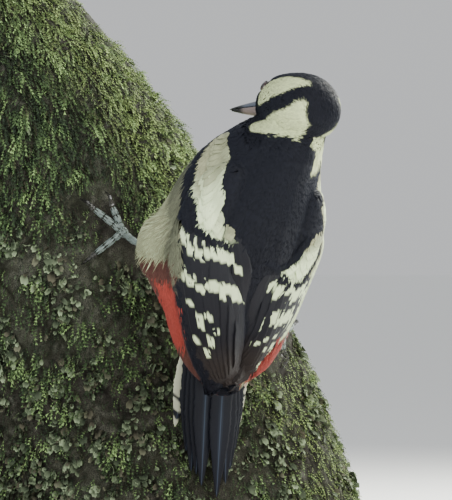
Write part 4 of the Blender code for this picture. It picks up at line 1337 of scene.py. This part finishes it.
def moss_tones(faces):
    """The greens of the shoots: darker in the clefts and lighter on the clumps as painted shade and
    light, with a painted rim light at the trunk's edge; some dead.
    """
    # Painted shade and light: the tone follows the height of the clumps.
    mix = (rng.random(len(faces)) ** 1.6 * 0.62 + 0.25 * soft_edge(moss_patch[faces], -0.5, 0.7)
           + 0.62 * soft_edge(moss_clump[faces], -0.15, 0.8) - 0.08)
    tones = blend((0.017, 0.027, 0.015), (0.068, 0.116, 0.044), soft_edge(mix, 0.1, 0.65))
    tones = blend(tones, (0.28, 0.42, 0.155), 0.85 * soft_edge(mix, 0.5, 1.05))
    tones = blend(tones, (0.045, 0.034, 0.022), 0.7 * (rng.random(len(faces)) < 0.12))
    # A painted rim light along the trunk's right edge.
    lit = 0.8 * rim_light_edge[faces] * rng.random(len(faces))
    return blend(tones, (0.34, 0.45, 0.15), lit)


moss = painted_finish("moss", 0.75, 0.25)
front = np.sin(np.radians(face_around)) > -0.25
high_up = mat_height > 185
dense = soft_edge(moss_patch + 0.9 * soft_edge(mat_height, 150.0, 185.0) + 0.8 * rim_light_edge
                  + 0.05, -0.25, 0.55)
dense = np.maximum(dense, 0.42) * growing * (face_gap > 1.2)
for name, part, spacing, pairs in (("moss_high", front & high_up, 1.35, 3),
                                   ("moss_low", front & ~high_up, 1.50, 2),
                                   ("moss_back", ~front, 2.2, 2)):
    grow_on_bark(name, dense * part, spacing, shoot_template(pairs), moss_length, 0.78 * MM,
                 moss_tones, 0.45, 0.75, moss)


# Lichen: leafy pale mint rosettes flat on the bark among the moss, thick low on the trunk. Each
# rosette is a ring of thin wavy lobes with lifted rims, painted dark at the root as painted shade
# and bright at the rim as painted highlight.
def lobe_template():
    """A thin fan-shaped lobe with a scalloped, lifted rim: along, aside and up."""
    points = []
    faces = []
    fan_rows = ((0.0, 0.20, 0.0), (0.4, 0.62, 0.10), (0.75, 0.95, 0.26), (1.0, 0.90, 0.42))
    for row, (along, spread, rise) in enumerate(fan_rows):
        for column in range(5):
            turn = (column - 2) / 2.0
            scallop = 1.0 + 0.14 * (column % 2) * (row == 3)
            lifted = rise + 0.16 * turn ** 2 + 0.12 * ((column + row) % 2)
            points.append((along * scallop * (1.0 - 0.18 * turn ** 2), spread * turn, lifted))
    for row in range(3):
        for column in range(4):
            first = row * 5 + column
            faces += [(first, first + 1, first + 6), (first, first + 6, first + 5)]
    return np.array(points), np.array(faces)


lichen_patch = rough(bark_middles, 13.0, 3, 2.2)
lichen_spot = rough(bark_middles, 5.0, 2, 6.6)
low_trunk = 1.0 - soft_edge(mat_height, 150.0, 178.0)
lichen_here = (growing * soft_edge(lichen_patch + 0.35 * low_trunk - 0.15, 0.0, 0.4)
               * soft_edge(lichen_spot, -0.15, 0.25) * (0.12 + 0.88 * low_trunk)
               * (face_gap > 2.0))


def lichen_length(faces):
    """How long the lobes are: mostly small, and short beside the bird."""
    size = 2.3 + 1.4 * lichen_spot[faces] + 3.4 * rng.random(len(faces)) ** 3
    return np.minimum(size, 0.28 * face_gap[faces] + 0.6) * MM


def lichen_tones(faces):
    """The mint greys of the lobes, some of them brown and dying."""
    mix = rng.random(len(faces))
    tones = blend((0.050, 0.066, 0.038), (0.24, 0.30, 0.18),
                  soft_edge(mix ** 1.6 + 0.5 * lichen_spot[faces], 0.1, 1.1))
    return blend(tones, (0.085, 0.075, 0.052), 0.8 * (rng.random(len(faces)) < 0.2))


lichen = painted_finish("lichen", 0.8, 0.25, 1200.0, 0.4)
grow_on_bark("lichen", lichen_here, 1.45, lobe_template(), lichen_length, 1.35 * MM,
             lichen_tones, 0.25, 0.60, lichen)


# The stand: a plain oiled oak base with softened edges, and two brushed steel rods with flanges
# that carry the sawn foot of the trunk.
oak, oak_tree, oak_shader = new_finish("oiled_oak", (0.22, 0.13, 0.07), 0.42, {
    "Coat Weight": 0.2})
spot = add_node(oak_tree, "TexCoord")
stretch = add_node(oak_tree, "Mapping", {"Scale": (6.0, 60.0, 60.0)})
grain = add_node(oak_tree, "TexNoise", {"Scale": 4.0, "Detail": 8.0, "Distortion": 1.2})
ramp = add_node(oak_tree, "ValToRGB")
for stop, position, colour in ((0, 0.35, (0.105, 0.058, 0.030, 1.0)),
                               (1, 0.68, (0.235, 0.140, 0.075, 1.0))):
    ramp.color_ramp.elements[stop].position = position
    ramp.color_ramp.elements[stop].color = colour
wire(oak_tree, (spot, "Object", stretch, "Vector"), (stretch, "Vector", grain, "Vector"),
     (grain, "Fac", ramp, "Fac"), (ramp, "Color", oak_shader, "Base Color"))
add_relief(oak_tree, oak_shader, grain, {"Strength": 0.25, "Distance": 0.0004})
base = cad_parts["stand_base"]
base.data.materials.clear()
base.data.materials.append(oak)
steel, steel_tree, steel_shader = new_finish("brushed_steel", (0.56, 0.57, 0.58), 0.32, {
    "Metallic": 1.0})
brush = add_node(steel_tree, "TexNoise", {"Scale": 900.0})
add_relief(steel_tree, steel_shader, brush, {"Strength": 0.12, "Distance": 0.0001})
for node in ("stand_rod_1", "stand_rod_2"):
    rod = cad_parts[node]
    rod.data.materials.clear()
    rod.data.materials.append(steel)
    rod.data.shade_smooth()
